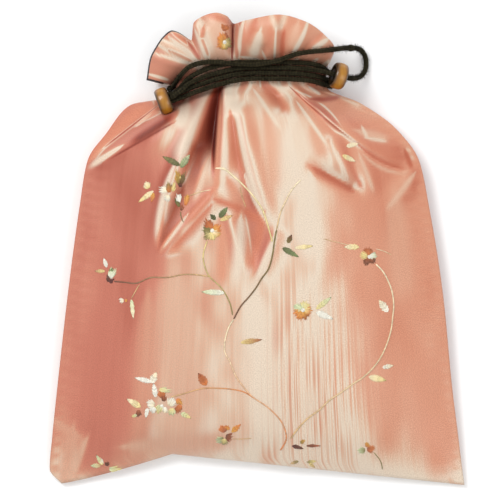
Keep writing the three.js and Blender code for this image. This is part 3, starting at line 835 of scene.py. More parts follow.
def front_cloth(s, up):
    """Underside of the whole front: above the casing it mixes the casing's edge with the hem."""
    s, up = np.broadcast_arrays(np.asarray(s, float), np.asarray(up, float))
    x, y, z = front_body(s, np.minimum(up, CASING_TOP))
    share = np.maximum(0, (up - CASING_TOP) / (HEM - CASING_TOP))
    hem_x, hem_y, hem_z = (between(FRONT_HEM, "s", name, s) for name in "xyz")
    x, y = mix(x, hem_x, share), mix(y, hem_y, share)
    z = mix(z, hem_z, np.sin(clamp(share) * np.pi / 2)) + FRILL_ARCH * np.sin(np.pi * clamp(share))
    return x, y, z + fold_heights(x, y, FRILL_FOLDS) * ease(share / FRILL_FOLDS_FROM)


print("height of the front's middle:", round(float(front_cloth(0.0, 150.0)[2]), 1), "mm")

# %% The back as a formula
BACK_TURN = 26.0
SILK = 1.8


def round_off(value):
    """A rise that flattens towards 1: twice the value less its square."""
    return clamp(value) * (2 - clamp(value))


def back_body(s, up):
    """Underside of the back: flat on the table, turned up to the seam at its edges, gathered at the neck."""
    x, y, seam, inward, _, _ = plan(s, up)
    flatness = round_off(np.minimum(inward, up) / BACK_TURN)
    lifted = BACK_GATHER * np.exp(-((np.maximum(0, CASING_LOW - up) / GATHER_REACH) ** 2))
    pleats = lifted * ease(inward / SIDE_EDGE) + gathers(s, up, inward, BACK_GATHER)
    return x, y, (seam - SEAM_GAP / 2 - SILK) * (1 - flatness) + pleats


def back_cloth(s, up):
    """Underside of the whole back, with its frill mixed from the casing's edge to the hem."""
    s, up = np.broadcast_arrays(np.asarray(s, float), np.asarray(up, float))
    x, y, z = back_body(s, np.minimum(up, CASING_TOP))
    share = np.maximum(0, (up - CASING_TOP) / (HEM - CASING_TOP))
    hem_x, hem_y, hem_z = (between(BACK_HEM, "s", name, s) for name in "xyz")
    return mix(x, hem_x, share), mix(y, hem_y, share), mix(z, hem_z, np.sin(clamp(share) * np.pi / 2))


print("height of the back under the neck:", round(float(back_cloth(0.06, 294.0)[2]), 2), "mm")

# %% [markdown]
# ## Painted highlights and shade
# The folds of the formula don't give all the light and shade of the gathered silk, and this can't be had
# from the height of the cloth. So a second table paints highlights and shade into the colour, as a climb of
# the weft: near 0 for a cream highlight, below it for salmon, above it for pink, and far from it for the
# dark shade of a tight crease.

# %% Where the highlights and shade are painted
# Each row paints a highlight where its climb is near 0 and shade where it is far from 0.
PAINTED_LIGHT_COLUMNS = "from_column from_row to_column to_row climb left right bow"
PAINTED_LIGHT_ROWS = table_of(PAINTED_LIGHT_COLUMNS, [
    (266, 106, 274, 205, -0.25, 5, 7, 0),
    (312, 125, 324, 162, -0.27, 5, 6, 0),
    (116, 290, 102, 500, 0.46, 20, 8, 0),
    (148, 300, 138, 500, 0.17, 8, 8, 0),
    (174, 275, 186, 500, 0.075, 18, 18, 0),
    (128, 446, 250, 438, 0.09, 9, 6, 0),
    (73, 430, 64, 492, 0.11, 6, 6, 0),
    (53, 418, 91, 443, 0.13, 6, 2.6, 0),
    (87, 440, 67, 490, 0.08, 7, 2.8, 0),
    (425, 370, 442, 490, -0.42, 11, 14, 0),
    (395, 200, 404, 310, -0.31, 10, 10, 0),
    (310, 176, 308, 275, -0.04, 8, 8, 0),
    (256, 296, 266, 460, -0.05, 11, 13, 0),
    (92, 158, 162, 96, -0.58, 4, 6, -2),
    (172, 98, 138, 120, -0.58, 3.4, 4.6, 0),
    (172, 112, 90, 164, 0.36, 4.6, 4.6, 0),
    (184, 110, 124, 148, 0.82, 3.6, 2.6, 0),
    (151, 114, 133, 128, -0.22, 1.2, 1.2, 0),
    (122, 146, 86, 170, -0.12, 2.4, 1.8, 0),
    (177, 121, 100, 165, 0.80, 1.2, 0.6, 0),
    (160, 104, 97, 153, 0.74, 0.6, 0.6, 0),
    (215, 86, 174, 172, -0.06, 8, 4, 0),
    (186, 102, 178, 132, -0.06, 6, 6, 0),
    (174, 166, 157, 252, -0.06, 2.4, 2.4, 3),
    (216, 92, 188, 198, -0.82, 5.5, 6, 0),
    (221, 88, 211, 152, -0.95, 3.8, 0.8, 0),
    (209, 158, 193, 206, -0.16, 2.2, 2.6, 0),
    (216, 186, 184, 226, -0.58, 3.6, 4.2, 0),
    (183, 188, 158, 257, -0.82, 4.6, 4.6, 0),
    (210, 206, 164, 258, -0.60, 1.4, 5, 0),
    (188, 214, 158, 255, -0.10, 1.6, 1.6, 0),
    (229, 80, 233, 130, -0.06, 5, 5, 0),
    (228, 180, 246, 212, -0.40, 5, 5, 0),
    (230, 86, 219, 205, -0.06, 3.2, 2.8, -1),
    (220, 96, 214, 212, -0.45, 1.2, 2.4, 0),
    (231, 116, 243, 186, -0.62, 4.4, 3.2, 0),
    (236, 105, 272, 232, -0.06, 2.4, 3.4, 4),
    (216, 200, 268, 226, -0.64, 3.4, 3.6, -1.5),
    (264, 216, 250, 280, -0.62, 5, 2.4, 0),
    (222, 228, 222, 292, -0.40, 4.5, 4.5, 0),
    (241, 218, 234, 294, -0.06, 4.6, 4.4, -1),
    (244, 175, 274, 234, -0.06, 1, 2.6, 2),
    (275, 236, 253, 288, -0.06, 2, 3, 0),
    (276, 86, 300, 127, -0.06, 2.4, 3, 0),
    (254, 90, 284, 134, -0.08, 1.6, 1.6, 0),
    (258, 80, 292, 116, -0.58, 3.8, 4.4, 0),
    (296, 92, 348, 148, -0.42, 4.2, 0.8, 0),
    (297, 102, 332, 152, -0.06, 1.3, 1.3, 0),
    (302, 98, 343, 132, 0.45, 1.2, 2.4, -2),
    (299, 92, 345, 133, -0.04, 0.8, 0.8, -4),
    (290, 87, 358, 144, -0.85, 0.9, 0.5, 1),
    (356, 143, 413, 171, -0.72, 0.7, 2.8, 4),
    (362, 153, 410, 174, -0.24, 1.3, 1.3, 4),
    (312, 99, 344, 95, 0.62, 2, 2.2, 1.5),
    (309, 87, 322, 96, -0.05, 1.2, 1.2, 0),
    (358, 131, 392, 141, -0.25, 3.5, 3.5, 0),
    (362, 127, 368, 140, -0.13, 1.3, 1.3, 0),
    (366, 138, 389, 142, -0.13, 1.2, 1.4, 0),
    (352, 190, 303, 161, -0.68, 1.2, 3.6, 0),
    (324, 165, 350, 184, -0.08, 1.1, 1.2, 0),
    (336, 150, 350, 184, -0.08, 1.1, 1.1, 0),
    (350, 166, 364, 192, -0.60, 1.8, 1.8, 0),
    (359, 154, 375, 196, -0.20, 1.6, 1.6, 0),
    (405, 151, 413, 171, -0.72, 2.4, 2, 0),
    (414, 174, 384, 214, -0.22, 2.4, 2.4, 0),
    (251, 76, 250, 92, -0.03, 1, 1, 0),
    (259, 76, 261, 90, -0.03, 1, 1, 0),
])
FRILL_PAINTED_LIGHT_ROWS = table_of(PAINTED_LIGHT_COLUMNS, [
    (162, 30, 182, 110, 0.22, 22, 16, 0),
    (214, 10, 214, 110, -0.22, 9, 12, 0),
    (286, 8, 286, 110, -0.40, 34, 40, 0),
    (156, 40, 202, 65, -0.20, 4.6, 4.2, 0),
    (173, 33, 194, 47, -0.55, 1.6, 2.2, 0),
    (168, 50, 197, 64, 0.14, 1.5, 1.5, 0),
    (169, 37, 204, 66, -0.06, 1.6, 1.6, 0),
    (153, 53, 192, 65, -0.05, 1.5, 1.5, 0),
    (148, 74, 172, 81, -0.08, 1.2, 1.2, 0),
    (188, 42, 202, 62, 0.48, 1.6, 1.6, 0),
    (200, 20, 212, 58, -0.12, 4, 4, 0),
    (206, 15, 236, 29, -0.56, 2.2, 3, -2),
    (200, 34, 210, 61, 0.14, 1.5, 1.5, 0),
    (195, 30, 208, 64, -0.04, 1.3, 1.3, 0),
    (204, 27, 201, 40, -0.48, 1.6, 1.6, 0),
    (233, 24, 232, 68, 0.85, 0.9, 0.6, 0),
    (237, 24, 237, 66, 0.22, 1.9, 1.9, 0),
    (256, 20, 246, 50, -0.58, 4.5, 4, 0),
    (272, 26, 267, 52, -0.52, 3, 3, 0),
    (260, 32, 252, 61, -0.08, 4.4, 4.4, 0),
    (262, 51, 268, 65, -0.05, 1, 1, 0),
    (244, 20, 240, 57, -0.04, 1.6, 1.6, 1.4),
    (241, 57, 264, 61, -0.04, 1.3, 1.3, 0),
    (284, 28, 281, 64, -0.72, 2.2, 2.4, 0),
    (270, 12, 278, 34, -0.14, 2.8, 2.8, 0),
    (287, 10, 279, 34, -0.16, 3, 2.8, 0),
    (276, 28, 274, 66, -0.04, 1, 1, 0),
    (298, 24, 291, 52, -0.24, 5, 4, 0),
    (308, 21, 287, 61, -0.04, 1.8, 1.8, -1.8),
    (322, 34, 300, 54, -0.50, 3, 3, 0),
    (328, 39, 309, 52, -0.06, 2.4, 2.4, 0),
    (283, 68, 302, 57, -0.06, 1.6, 1.6, 0),
    (306, 68, 320, 57, -0.06, 1.3, 1.3, 0),
    (320, 68, 332, 59, -0.08, 1.6, 1.6, 0),
])
PAINTED_LIGHT_ROUNDNESS, PAINTED_LIGHT_KEEPS, PAINTED_LIGHT_ENDS = 2.6, 0.72, 0.3


def painted_light_at(x, y, table):
    """Climb and share of the painted light: each row lies over those before it, by its share of a place."""
    climb = np.zeros(x.shape)
    share = np.zeros(x.shape)
    for turned in each_row(table):
        own = fold_share(x, y, turned, PAINTED_LIGHT_ROUNDNESS, PAINTED_LIGHT_KEEPS, PAINTED_LIGHT_ENDS)
        share = own + share * (1 - own)
        climb = mix(climb, turned["climb"], own / np.maximum(share, 1e-9))
    return climb, share


# Rows of painted highlight and shade in the front and in the frill.
painted_light_counts = [len(table["climb"]) for table in (PAINTED_LIGHT_ROWS, FRILL_PAINTED_LIGHT_ROWS)]
print("places with turned grain in the front and in the frill:", painted_light_counts)

# %% [markdown]
# ## Sheets of cloth
# A sheet is two layers of one grid, joined round the rim, so it is a closed solid like the real cloth.
# With each point the sheet keeps how steeply the weft climbs there: shot silk changes colour with that
# angle under the lamps, and the finish reads it as an attribute and paints that as a cream highlight
# where the weft lies level and as shade where it climbs steeply, so this painted light belongs to the
# folds and not to the view.

# %% A closed sheet from a formula
FRILL_CALM = 0.5
BODY_DEEP, FRILL_DEEP, CASING_SHADE = 7.0, 4.0, 0.9
PULLED_AT, PULLED_SIZE = (0.29, 52.0), (0.24, 60.0)


def bell(distance):
    """The exponential of minus the squared distance."""
    return np.exp(-(distance**2))


def closed_sheet(name, cloth, across, along, lower, upper, creased=False):
    """Two layers of a cloth formula, lower and upper millimetres above its underside, joined at the rim.

    The stored climb, from which the finish paints highlight and shade, is the height part of the unit
    vector across the cloth, calmer in the frill. A creased sheet also stores its rows of painted highlight
    and shade, read where the camera sees each point, a painted shade for how deep a point lies in a crease
    or in the shade of the cords, and how far its threads are pulled into stripes."""
    s, up = np.meshgrid(across, along)
    surface = np.stack(cloth(s, up), axis=-1)
    rows, columns = s.shape
    count = rows * columns
    layers = [surface + (0, 0, lower), surface + (0, 0, upper)]
    points = np.concatenate([layer.reshape(-1, 3) for layer in layers]) * MM
    top = grid_quads(rows, columns)
    index = np.arange(count).reshape(rows, columns)
    rim = np.concatenate([index[0, :-1], index[:-1, -1], index[-1, :0:-1], index[:0:-1, 0]])
    after = np.roll(rim, -1)
    edge = np.stack([rim, after, after + count, rim + count], axis=1)
    piece = mesh_object(name, points, np.vstack([top[:, ::-1], top + count, edge]))
    weft = unit(np.gradient(surface, across, axis=1))
    in_frill = ease((up - CASING_LOW) / (CASING_TOP - CASING_LOW))
    # The climb of the weft, from which the finish paints a highlight where it lies level and shade where it
    # climbs steeply.
    marks = {"weft_tilt": weft[..., 2] * mix(1, FRILL_CALM, in_frill)}
    if creased:
        nearer = CAMERA_HEIGHT / (CAMERA_HEIGHT - surface[..., 2] * MM)
        x = mix(middle_x, surface[..., 0], nearer)
        y = mix(middle_y, surface[..., 1], nearer)
        # Rows of painted highlight and shade, read where the camera sees each point.
        body, frill = (np.stack(painted_light_at(x, y, table)) for table in (PAINTED_LIGHT_ROWS, FRILL_PAINTED_LIGHT_ROWS))
        marks["painted_light_climb"], marks["painted_light_share"] = mix(body, frill, in_frill)
        # Painted shade in the creases and in the casing under the cords.
        body, frill = (fold_heights(x, y, folds, 0) for folds in (BODY_FOLDS, FRILL_FOLDS))
        creases = clamp(-mix(body / BODY_DEEP, frill / FRILL_DEEP, in_frill)) ** 2
        marks["crease_shade"] = np.maximum(creases, CASING_SHADE * 4 * in_frill * (1 - in_frill))
        across_pull, along_pull = (
            bell((place - at) / size) for place, at, size in zip((s, up), PULLED_AT, PULLED_SIZE)
        )
        marks["pulled"] = across_pull * along_pull
    for mark, values in marks.items():
        both_layers = np.tile(values.ravel(), 2).astype(np.float32)
        piece.data.attributes.new(mark, "FLOAT", "POINT").data.foreach_set("value", both_layers)
    u, v = np.tile((s.ravel() + 1) / 2, 2), np.tile(up.ravel() / HEM, 2)
    corner = np.empty(len(piece.data.loops), np.int32)
    piece.data.loops.foreach_get("vertex_index", corner)
    cut = piece.data.uv_layers.new(name="cloth_cut")
    cut.data.foreach_set("uv", np.stack([u[corner], v[corner]], axis=1).astype(np.float32).ravel())
    return piece


# If creased, sheets also keep their rows of painted highlight and shade.
print("sheets keep the climb of their weft and, if creased, their turned grain")

# %% Front and back
FRONT_UNDER, BACK_UNDER, CLOTH_TOP = 0.4, 0.3, 1.5
FRONT_COLUMNS, FRONT_ROWS = 221, (146, 10, 46)
BACK_COLUMNS, BACK_ROWS = 121, (80, 8, 26)
NECK_CLOSER = 0.55


def cloth_rows(body, casing, frill):
    """Rows along the cloth, closer together towards the neck: equal steps mixed with those of a sine."""
    share = np.linspace(0, 1, body + 1)
    closer = mix(share, np.sin(share * np.pi / 2), NECK_CLOSER) * CASING_LOW
    neck = np.linspace(CASING_LOW, CASING_TOP, casing + 1)[1:]
    return np.concatenate([closer, neck, np.linspace(CASING_TOP, HEM, frill + 1)[1:]])


front_grid = np.linspace(-1, 1, FRONT_COLUMNS), cloth_rows(*FRONT_ROWS)
back_grid = np.linspace(-1, 1, BACK_COLUMNS), cloth_rows(*BACK_ROWS)
front = closed_sheet("front_silk", front_cloth, *front_grid, FRONT_UNDER, CLOTH_TOP, creased=True)
back = closed_sheet("back_silk", back_cloth, *back_grid, BACK_UNDER, CLOTH_TOP)
print("front of", len(front.data.polygons), "faces, back of", len(back.data.polygons))

# %% [markdown]
# ## Shot silk
# The warp is cream and the weft a coral pink, and the light on the folds is painted into the colour by the
# climb of the weft: where it lies level under the lamps a painted cream highlight shows; where it climbs to
# the right the pink comes through, where it falls away the salmon, and on the steepest slopes a painted dark
# shade. The yarns are slubbed and uneven, so each one turns at a slightly different angle, which draws fine
# streaks along the cloth through that painted highlight, and the weave speckles it. A wave texture would be
# too regular for this, so the streaks are noise stretched along the warp.

# %% Streaks of the yarns, as a node group
YARNS = {"Broad": (75, 3, 1), "Fine": (330, 9, 1), "Stripe": (140, 1.0, 1), "Weave": (430, 520, 1)}
YARN_DETAIL, NOISE_MIDDLE = 2, 0.5


def yarn_streaks():
    """Noise over the flat cloth, less its middle and times a given weight, summed over the kinds of yarn.

    These are broad slubs, fine yarns, long stripes and the weave, which also comes out alone as specks."""
    group = bpy.data.node_groups.new("yarn_streaks", "ShaderNodeTree")
    for direction, names in (("INPUT", YARNS), ("OUTPUT", ("Streak", "Speck"))):
        for name in names:
            group.interface.new_socket(name, in_out=direction, socket_type="NodeSocketFloat")
    nodes, links = group.nodes, group.links
    given, made = nodes.new("NodeGroupInput"), nodes.new("NodeGroupOutput")
    cut = nodes.new("ShaderNodeUVMap")
    cut.uv_map = "cloth_cut"
    total = None
    for name, scale in YARNS.items():
        noise = stretched_noise(nodes, links, cut.outputs["UV"], scale, YARN_DETAIL, dimensions="2D")
        centred = nodes.new("ShaderNodeMath")
        centred.operation = "SUBTRACT"
        centred.inputs[1].default_value = NOISE_MIDDLE
        scaled = nodes.new("ShaderNodeMath")
        scaled.operation = "MULTIPLY"
        links.new(noise, centred.inputs[0])
        links.new(centred.outputs[0], scaled.inputs[0])
        links.new(given.outputs[name], scaled.inputs[1])
        if name == "Weave":
            links.new(centred.outputs[0], made.inputs["Speck"])
        if total is None:
            total = scaled
        else:
            both = nodes.new("ShaderNodeMath")
            links.new(total.outputs[0], both.inputs[0])
            links.new(scaled.outputs[0], both.inputs[1])
            total = both
    links.new(total.outputs[0], made.inputs["Streak"])
    return group


streaks_group = yarn_streaks()
print("group:", streaks_group.name)

# %% The silk's colours by the climb of the weft, with painted highlight and shade
# Cream near a level weft is a painted highlight; the darkest colours at both ends are painted shade.
SILK_COLOURS_AND_PAINTED_LIGHT = [
    (-0.90, (140, 66, 46)),
    (-0.70, (204, 114, 85)),
    (-0.50, (219, 147, 117)),
    (-0.36, (221, 156, 126)),
    (-0.26, (224, 170, 141)),
    (-0.18, (228, 192, 165)),
    (-0.10, (232, 211, 188)),
    (-0.03, (233, 215, 194)),
    (0.04, (225, 190, 163)),
    (0.10, (216, 164, 137)),
    (0.18, (209, 143, 117)),
    (0.30, (206, 132, 109)),
    (0.45, (197, 119, 99)),
    (0.70, (165, 78, 60)),
    (0.90, (105, 42, 30)),
]
SILK_DEPTH = 0.8


def silk_painted_light():
    """A colour ramp that turns a climb of the weft into the silk's colour, painted highlight and shade."""
    group = bpy.data.node_groups.new("silk_painted_light", "ShaderNodeTree")
    group.interface.new_socket("Climb", in_out="INPUT", socket_type="NodeSocketFloat")
    group.interface.new_socket("Color", in_out="OUTPUT", socket_type="NodeSocketColor")
    nodes, links = group.nodes, group.links
    given, made = nodes.new("NodeGroupInput"), nodes.new("NodeGroupOutput")
    onto = nodes.new("ShaderNodeMapRange")
    onto.inputs["From Min"].default_value = -1
    onto.inputs["From Max"].default_value = 1
    stops = [((climb + 1) / 2, linear(colour) * SILK_DEPTH) for climb, colour in SILK_COLOURS_AND_PAINTED_LIGHT]
    tint = ramp_node(nodes, stops)
    links.new(given.outputs["Climb"], onto.inputs["Value"])
    links.new(onto.outputs["Result"], tint.inputs["Fac"])
    links.new(tint.outputs["Color"], made.inputs["Color"])
    return group


colours_group = silk_painted_light()
print("group:", colours_group.name)

# %% The silk's finish
SILK_BASE, SILK_ROUGHNESS, SILK_SPECULAR, SILK_SHEEN = (0.7, 0.4, 0.3), 0.34, 0.24, 0.05
SILK_BUMP, SILK_RELIEF = 0.25, 0.0004
BROAD_WEIGHT, FINE_WEIGHT, FINE_WHERE_PULLED, WEAVE_WEIGHT = 0.07, 0.06, 0.10, 0.14
STREAKINESS = {"weft_tilt": 1.0, "painted_light_climb": 0.55}
SPECK_CONTRAST = 0.8
# Colour of the painted shade that is multiplied into the creases and into the casing under the cords.
PAINTED_CREASE_SHADE = (0.42, 0.20, 0.15)


def silk_finish():
    """Colour with painted highlight and shade by the climb of the weft plus yarn streaks, mixed with that of
    the rows of painted highlight and shade; a satin gloss.

    It is then multiplied by the painted shade of the creases and by the light and dark specks of the weave."""
    material = simple_material("shot_silk", SILK_BASE, SILK_ROUGHNESS)
    nodes, links = material.node_tree.nodes, material.node_tree.links
    shader = nodes["Principled BSDF"]
    pulled = mark_node(nodes, "pulled")
    streak = nodes.new("ShaderNodeGroup")
    streak.node_tree = streaks_group
    streak.inputs["Broad"].default_value = BROAD_WEIGHT
    streak.inputs["Weave"].default_value = WEAVE_WEIGHT
    links.new(times_plus(nodes, links, pulled, FINE_WHERE_PULLED, FINE_WEIGHT), streak.inputs["Fine"])
    links.new(pulled, streak.inputs["Stripe"])
    tints = []
    for mark, streakiness in STREAKINESS.items():
        climb = times_plus(nodes, links, streak.outputs["Streak"], streakiness, mark_node(nodes, mark))
        tint = nodes.new("ShaderNodeGroup")
        tint.node_tree = colours_group
        links.new(climb, tint.inputs["Climb"])
        tints.append(tint.outputs["Color"])
    both, shaded, specked = (nodes.new("ShaderNodeMix") for _ in range(3))
    both.data_type = shaded.data_type = specked.data_type = "RGBA"
    shaded.blend_type = specked.blend_type = "MULTIPLY"
    factor, lower, upper, mixed = 0, 6, 7, 2
    links.new(mark_node(nodes, "painted_light_share"), both.inputs[factor])
    links.new(tints[0], both.inputs[lower])
    links.new(tints[1], both.inputs[upper])
    links.new(mark_node(nodes, "crease_shade"), shaded.inputs[factor])
    links.new(both.outputs[mixed], shaded.inputs[lower])
    shaded.inputs[upper].default_value = (*PAINTED_CREASE_SHADE, 1)
    speck = times_plus(nodes, links, streak.outputs["Speck"], SPECK_CONTRAST, 1.0)
    specked.inputs[factor].default_value = 1
    links.new(shaded.outputs[mixed], specked.inputs[lower])
    links.new(speck, specked.inputs[upper])
    links.new(specked.outputs[mixed], shader.inputs["Base Color"])
    add_bump(nodes, links, streak.outputs["Streak"], SILK_BUMP, SILK_RELIEF)
    shader.inputs["Specular IOR Level"].default_value = SILK_SPECULAR
    shader.inputs["Sheen Weight"].default_value = SILK_SHEEN
    return material


shot_silk = silk_finish()
dress(front, "silk", shot_silk, "front_panel", "front_frill")
dress(back, "silk", shot_silk, "back_panel", "back_frill")
print("finish:", shot_silk.name)

# %% [markdown]
# ## Lining
# A dark lining lies inside the frill. It follows the silk's own formula at a small distance, which keeps
# the two from touching. At the left of the front it stands a little past the silk's free edges and shows
# as a thin dark line; elsewhere it stays behind them.

# %% Dark lining
LINING, LINING_GAP, LINING_SINK, LINING_TRIM = 1.3, 0.8, 1.6, 0.1
LINING_SHOWS, LINING_HIDES = 1.2, 0.5
SHOWS_FROM, SHOWS_FADE = 0.5, 0.15
SIDE_FROM, SIDE_FADE, HEM_FROM, HEM_FADE = 0.9, 0.1, 0.8, 0.2
STEP_DOWN, STEP_ASIDE = 1.8, 0.96
LINING_COLUMNS, LINING_ROWS = 161, 16
LINING_STARTS = 0.4
LINING_FROM = CASING_TOP + LINING_STARTS * (HEM - CASING_TOP)


def lining_cloth(cloth, side, clear, shows):
    """The formula of a lining: the silk's own, moved inwards in height, further at its free edges.

    At the left it stands past those edges by what shows; elsewhere it stays a little behind them."""

    def point(s, up):
        x, y, z = cloth(s, up)
        inner_x, inner_y, _ = cloth(s, up - STEP_DOWN)
        beside_x, beside_y, _ = cloth(s * STEP_ASIDE, up)
        at_side = ease((np.abs(s) - SIDE_FROM) / SIDE_FADE)
        at_hem = ease(((up - CASING_TOP) / (HEM - CASING_TOP) - HEM_FROM) / HEM_FADE)
        edge = mix(-LINING_HIDES, shows, ease((-s - SHOWS_FROM) / SHOWS_FADE))
        past = unit(np.stack([x - inner_x, y - inner_y], axis=-1)) * (edge * at_hem)[..., None]
        aside = unit(np.stack([x - beside_x, y - beside_y], axis=-1)) * (edge * at_side)[..., None]
        moved = past + aside
        inwards = clear + LINING_SINK * np.maximum(at_side, at_hem)
        return x + moved[..., 0], y + moved[..., 1], z + side * inwards

    return point


lining_grid = np.linspace(-1, 1, LINING_COLUMNS), np.linspace(LINING_FROM, HEM, LINING_ROWS)
front_inside = lining_cloth(front_cloth, -1, LINING_GAP + LINING, LINING_SHOWS)
back_inside = lining_cloth(back_cloth, 1, LINING_GAP + SILK, -LINING_HIDES)
SATIN_TONES = tuple(linear((24, 20, 22))), tuple(linear((54, 46, 48)))
SATIN_FIBRES = (3200, 900, 3200)
dark_satin = fibre_finish("dark_satin", *SATIN_TONES, scale=SATIN_FIBRES, roughness=0.45, specular=0.5)
for name, cloth, node, cut in (
    ("front_lining_satin", front_inside, "front_lining", (0.16, 0.027)),
    ("back_lining_satin", back_inside, "back_lining", (0.13, 0.017)),
):
    lining = closed_sheet(name, cloth, *lining_grid, LINING_TRIM, LINING - LINING_TRIM)
    dress(lining, "lining", dark_satin, node)
print("two linings along the hem")

# %% [markdown]
# ## Embroidery thread
# Sprays of stems, leaves and small flowers are worked on the silk in soft floss. A picture laid on the
# cloth would look flat from the side, so every stitch is a strand of its own, and the floss gets its
# colour from the stitch: an attribute holds it, and the finish adds a silky gloss.

# %% Floss and its colours
FLOSS = {
    "white": (228, 224, 210),
    "cream": (232, 217, 182),
    "straw": (222, 201, 134),
    "tan": (203, 168, 118),
    "gold": (206, 152, 62),
    "orange": (208, 122, 62),
    "rust": (160, 86, 48),
    "brown": (108, 64, 40),
    "maroon": (88, 38, 30),
    "olive": (126, 114, 60),
    "dark green": (84, 86, 48),
    "green": (122, 134, 84),
    "pale green": (200, 207, 164),
}
FLOSS_BASE, FLOSS_ROUGHNESS, FLOSS_SHEEN = (0.6, 0.5, 0.3), 0.45, 0.15


def floss_finish():
    """Each stitch's own colour from an attribute, with a soft gloss and sheen."""
    material = simple_material("embroidery_floss", FLOSS_BASE, FLOSS_ROUGHNESS)
    nodes, links = material.node_tree.nodes, material.node_tree.links
    shader = nodes["Principled BSDF"]
    colour = nodes.new("ShaderNodeAttribute")
    colour.attribute_name = "floss_colour"
    links.new(colour.outputs["Color"], shader.inputs["Base Color"])
    shader.inputs["Sheen Weight"].default_value = FLOSS_SHEEN
    return material


embroidery_floss = floss_finish()
print(len(FLOSS), "colours of floss")

# %% [markdown]
# ## Laying a stitch on the cloth
# The places of the stitches are known in plan, but the cloth is a formula in s and up. Newton's method
# turns the formula round: from the nearest of a coarse set of cloth points it steps towards the wanted
# place until both coordinates agree. Shooting rays at the mesh would do too, but this way needs no mesh.

# %% From a place in plan to the top of the front
COARSE_SIDE, COARSE_EDGE, COARSE_COLUMNS, COARSE_ROWS = 0.99, 1, 61, 91
COARSE_S, COARSE_UP = np.meshgrid(
    np.linspace(-COARSE_SIDE, COARSE_SIDE, COARSE_COLUMNS),
    np.linspace(COARSE_EDGE, HEM - COARSE_EDGE, COARSE_ROWS),
)
COARSE_X, COARSE_Y, _ = front_cloth(COARSE_S, COARSE_UP)
S_STEP, UP_STEP = 1e-4, 0.02
NEWTON_STEPS, BATCH = 6, 2000


def cloth_place(x, y):
    """s and up of places in plan: the nearest coarse point, then some steps of Newton's method.

    Places go through in batches, so that the table of distances stays small."""
    nearest = []
    for part in np.array_split(np.stack([x, y]), len(x) // BATCH + 1, axis=1):
        off_x, off_y = part[0][:, None] - COARSE_X.ravel(), part[1][:, None] - COARSE_Y.ravel()
        nearest.append(np.argmin(off_x**2 + off_y**2, axis=1))
    nearest = np.concatenate(nearest)
    s, up = COARSE_S.ravel()[nearest], COARSE_UP.ravel()[nearest]
    for _ in range(NEWTON_STEPS):
        here, aside, ahead = (
            np.stack(front_cloth(*place)[:2]) for place in ((s, up), (s + S_STEP, up), (s, up + UP_STEP))
        )
        by_s, by_up = (aside - here) / S_STEP, (ahead - here) / UP_STEP
        miss = np.stack([x, y]) - here
        area = by_s[0] * by_up[1] - by_s[1] * by_up[0]
        s = np.clip(s + (miss[0] * by_up[1] - miss[1] * by_up[0]) / area, -1, 1)
        up = np.clip(up + (by_s[0] * miss[1] - by_s[1] * miss[0]) / area, 0, HEM)
    return s, up


def on_cloth(x, y):
    """Points on top of the front over places in plan, with the cloth's normals, in millimetres."""
    shape = x.shape
    s, up = cloth_place(x.ravel(), y.ravel())
    here, aside, ahead = (
        np.stack(front_cloth(*place), axis=-1) for place in ((s, up), (s + S_STEP, up), (s, up + UP_STEP))
    )
    normal = unit(np.cross(aside - here, ahead - here))
    return (here + (0, 0, CLOTH_TOP)).reshape(*shape, 3), normal.reshape(*shape, 3)


print("top of the front in its middle:", np.round(on_cloth(np.array([0.0]), np.array([0.0]))[0], 2))

# %% [markdown]
# ## Stitches
# A stitch is a short strand that rises out of the cloth, lies over it and goes down again. A curve object
# for each would be slow, so all the stitches of a piece are made at once: a flattened ring is carried
# along every strand, with thin ends.

# %% Many strands as one mesh
STITCH_POINTS, STITCH_SIDES = 5, 5
STITCH_SINK, STITCH_PUFF = 0.10, 0.32
STITCH_TIP, STITCH_BELLY, STITCH_FLATNESS = 0.45, 0.55, 0.66


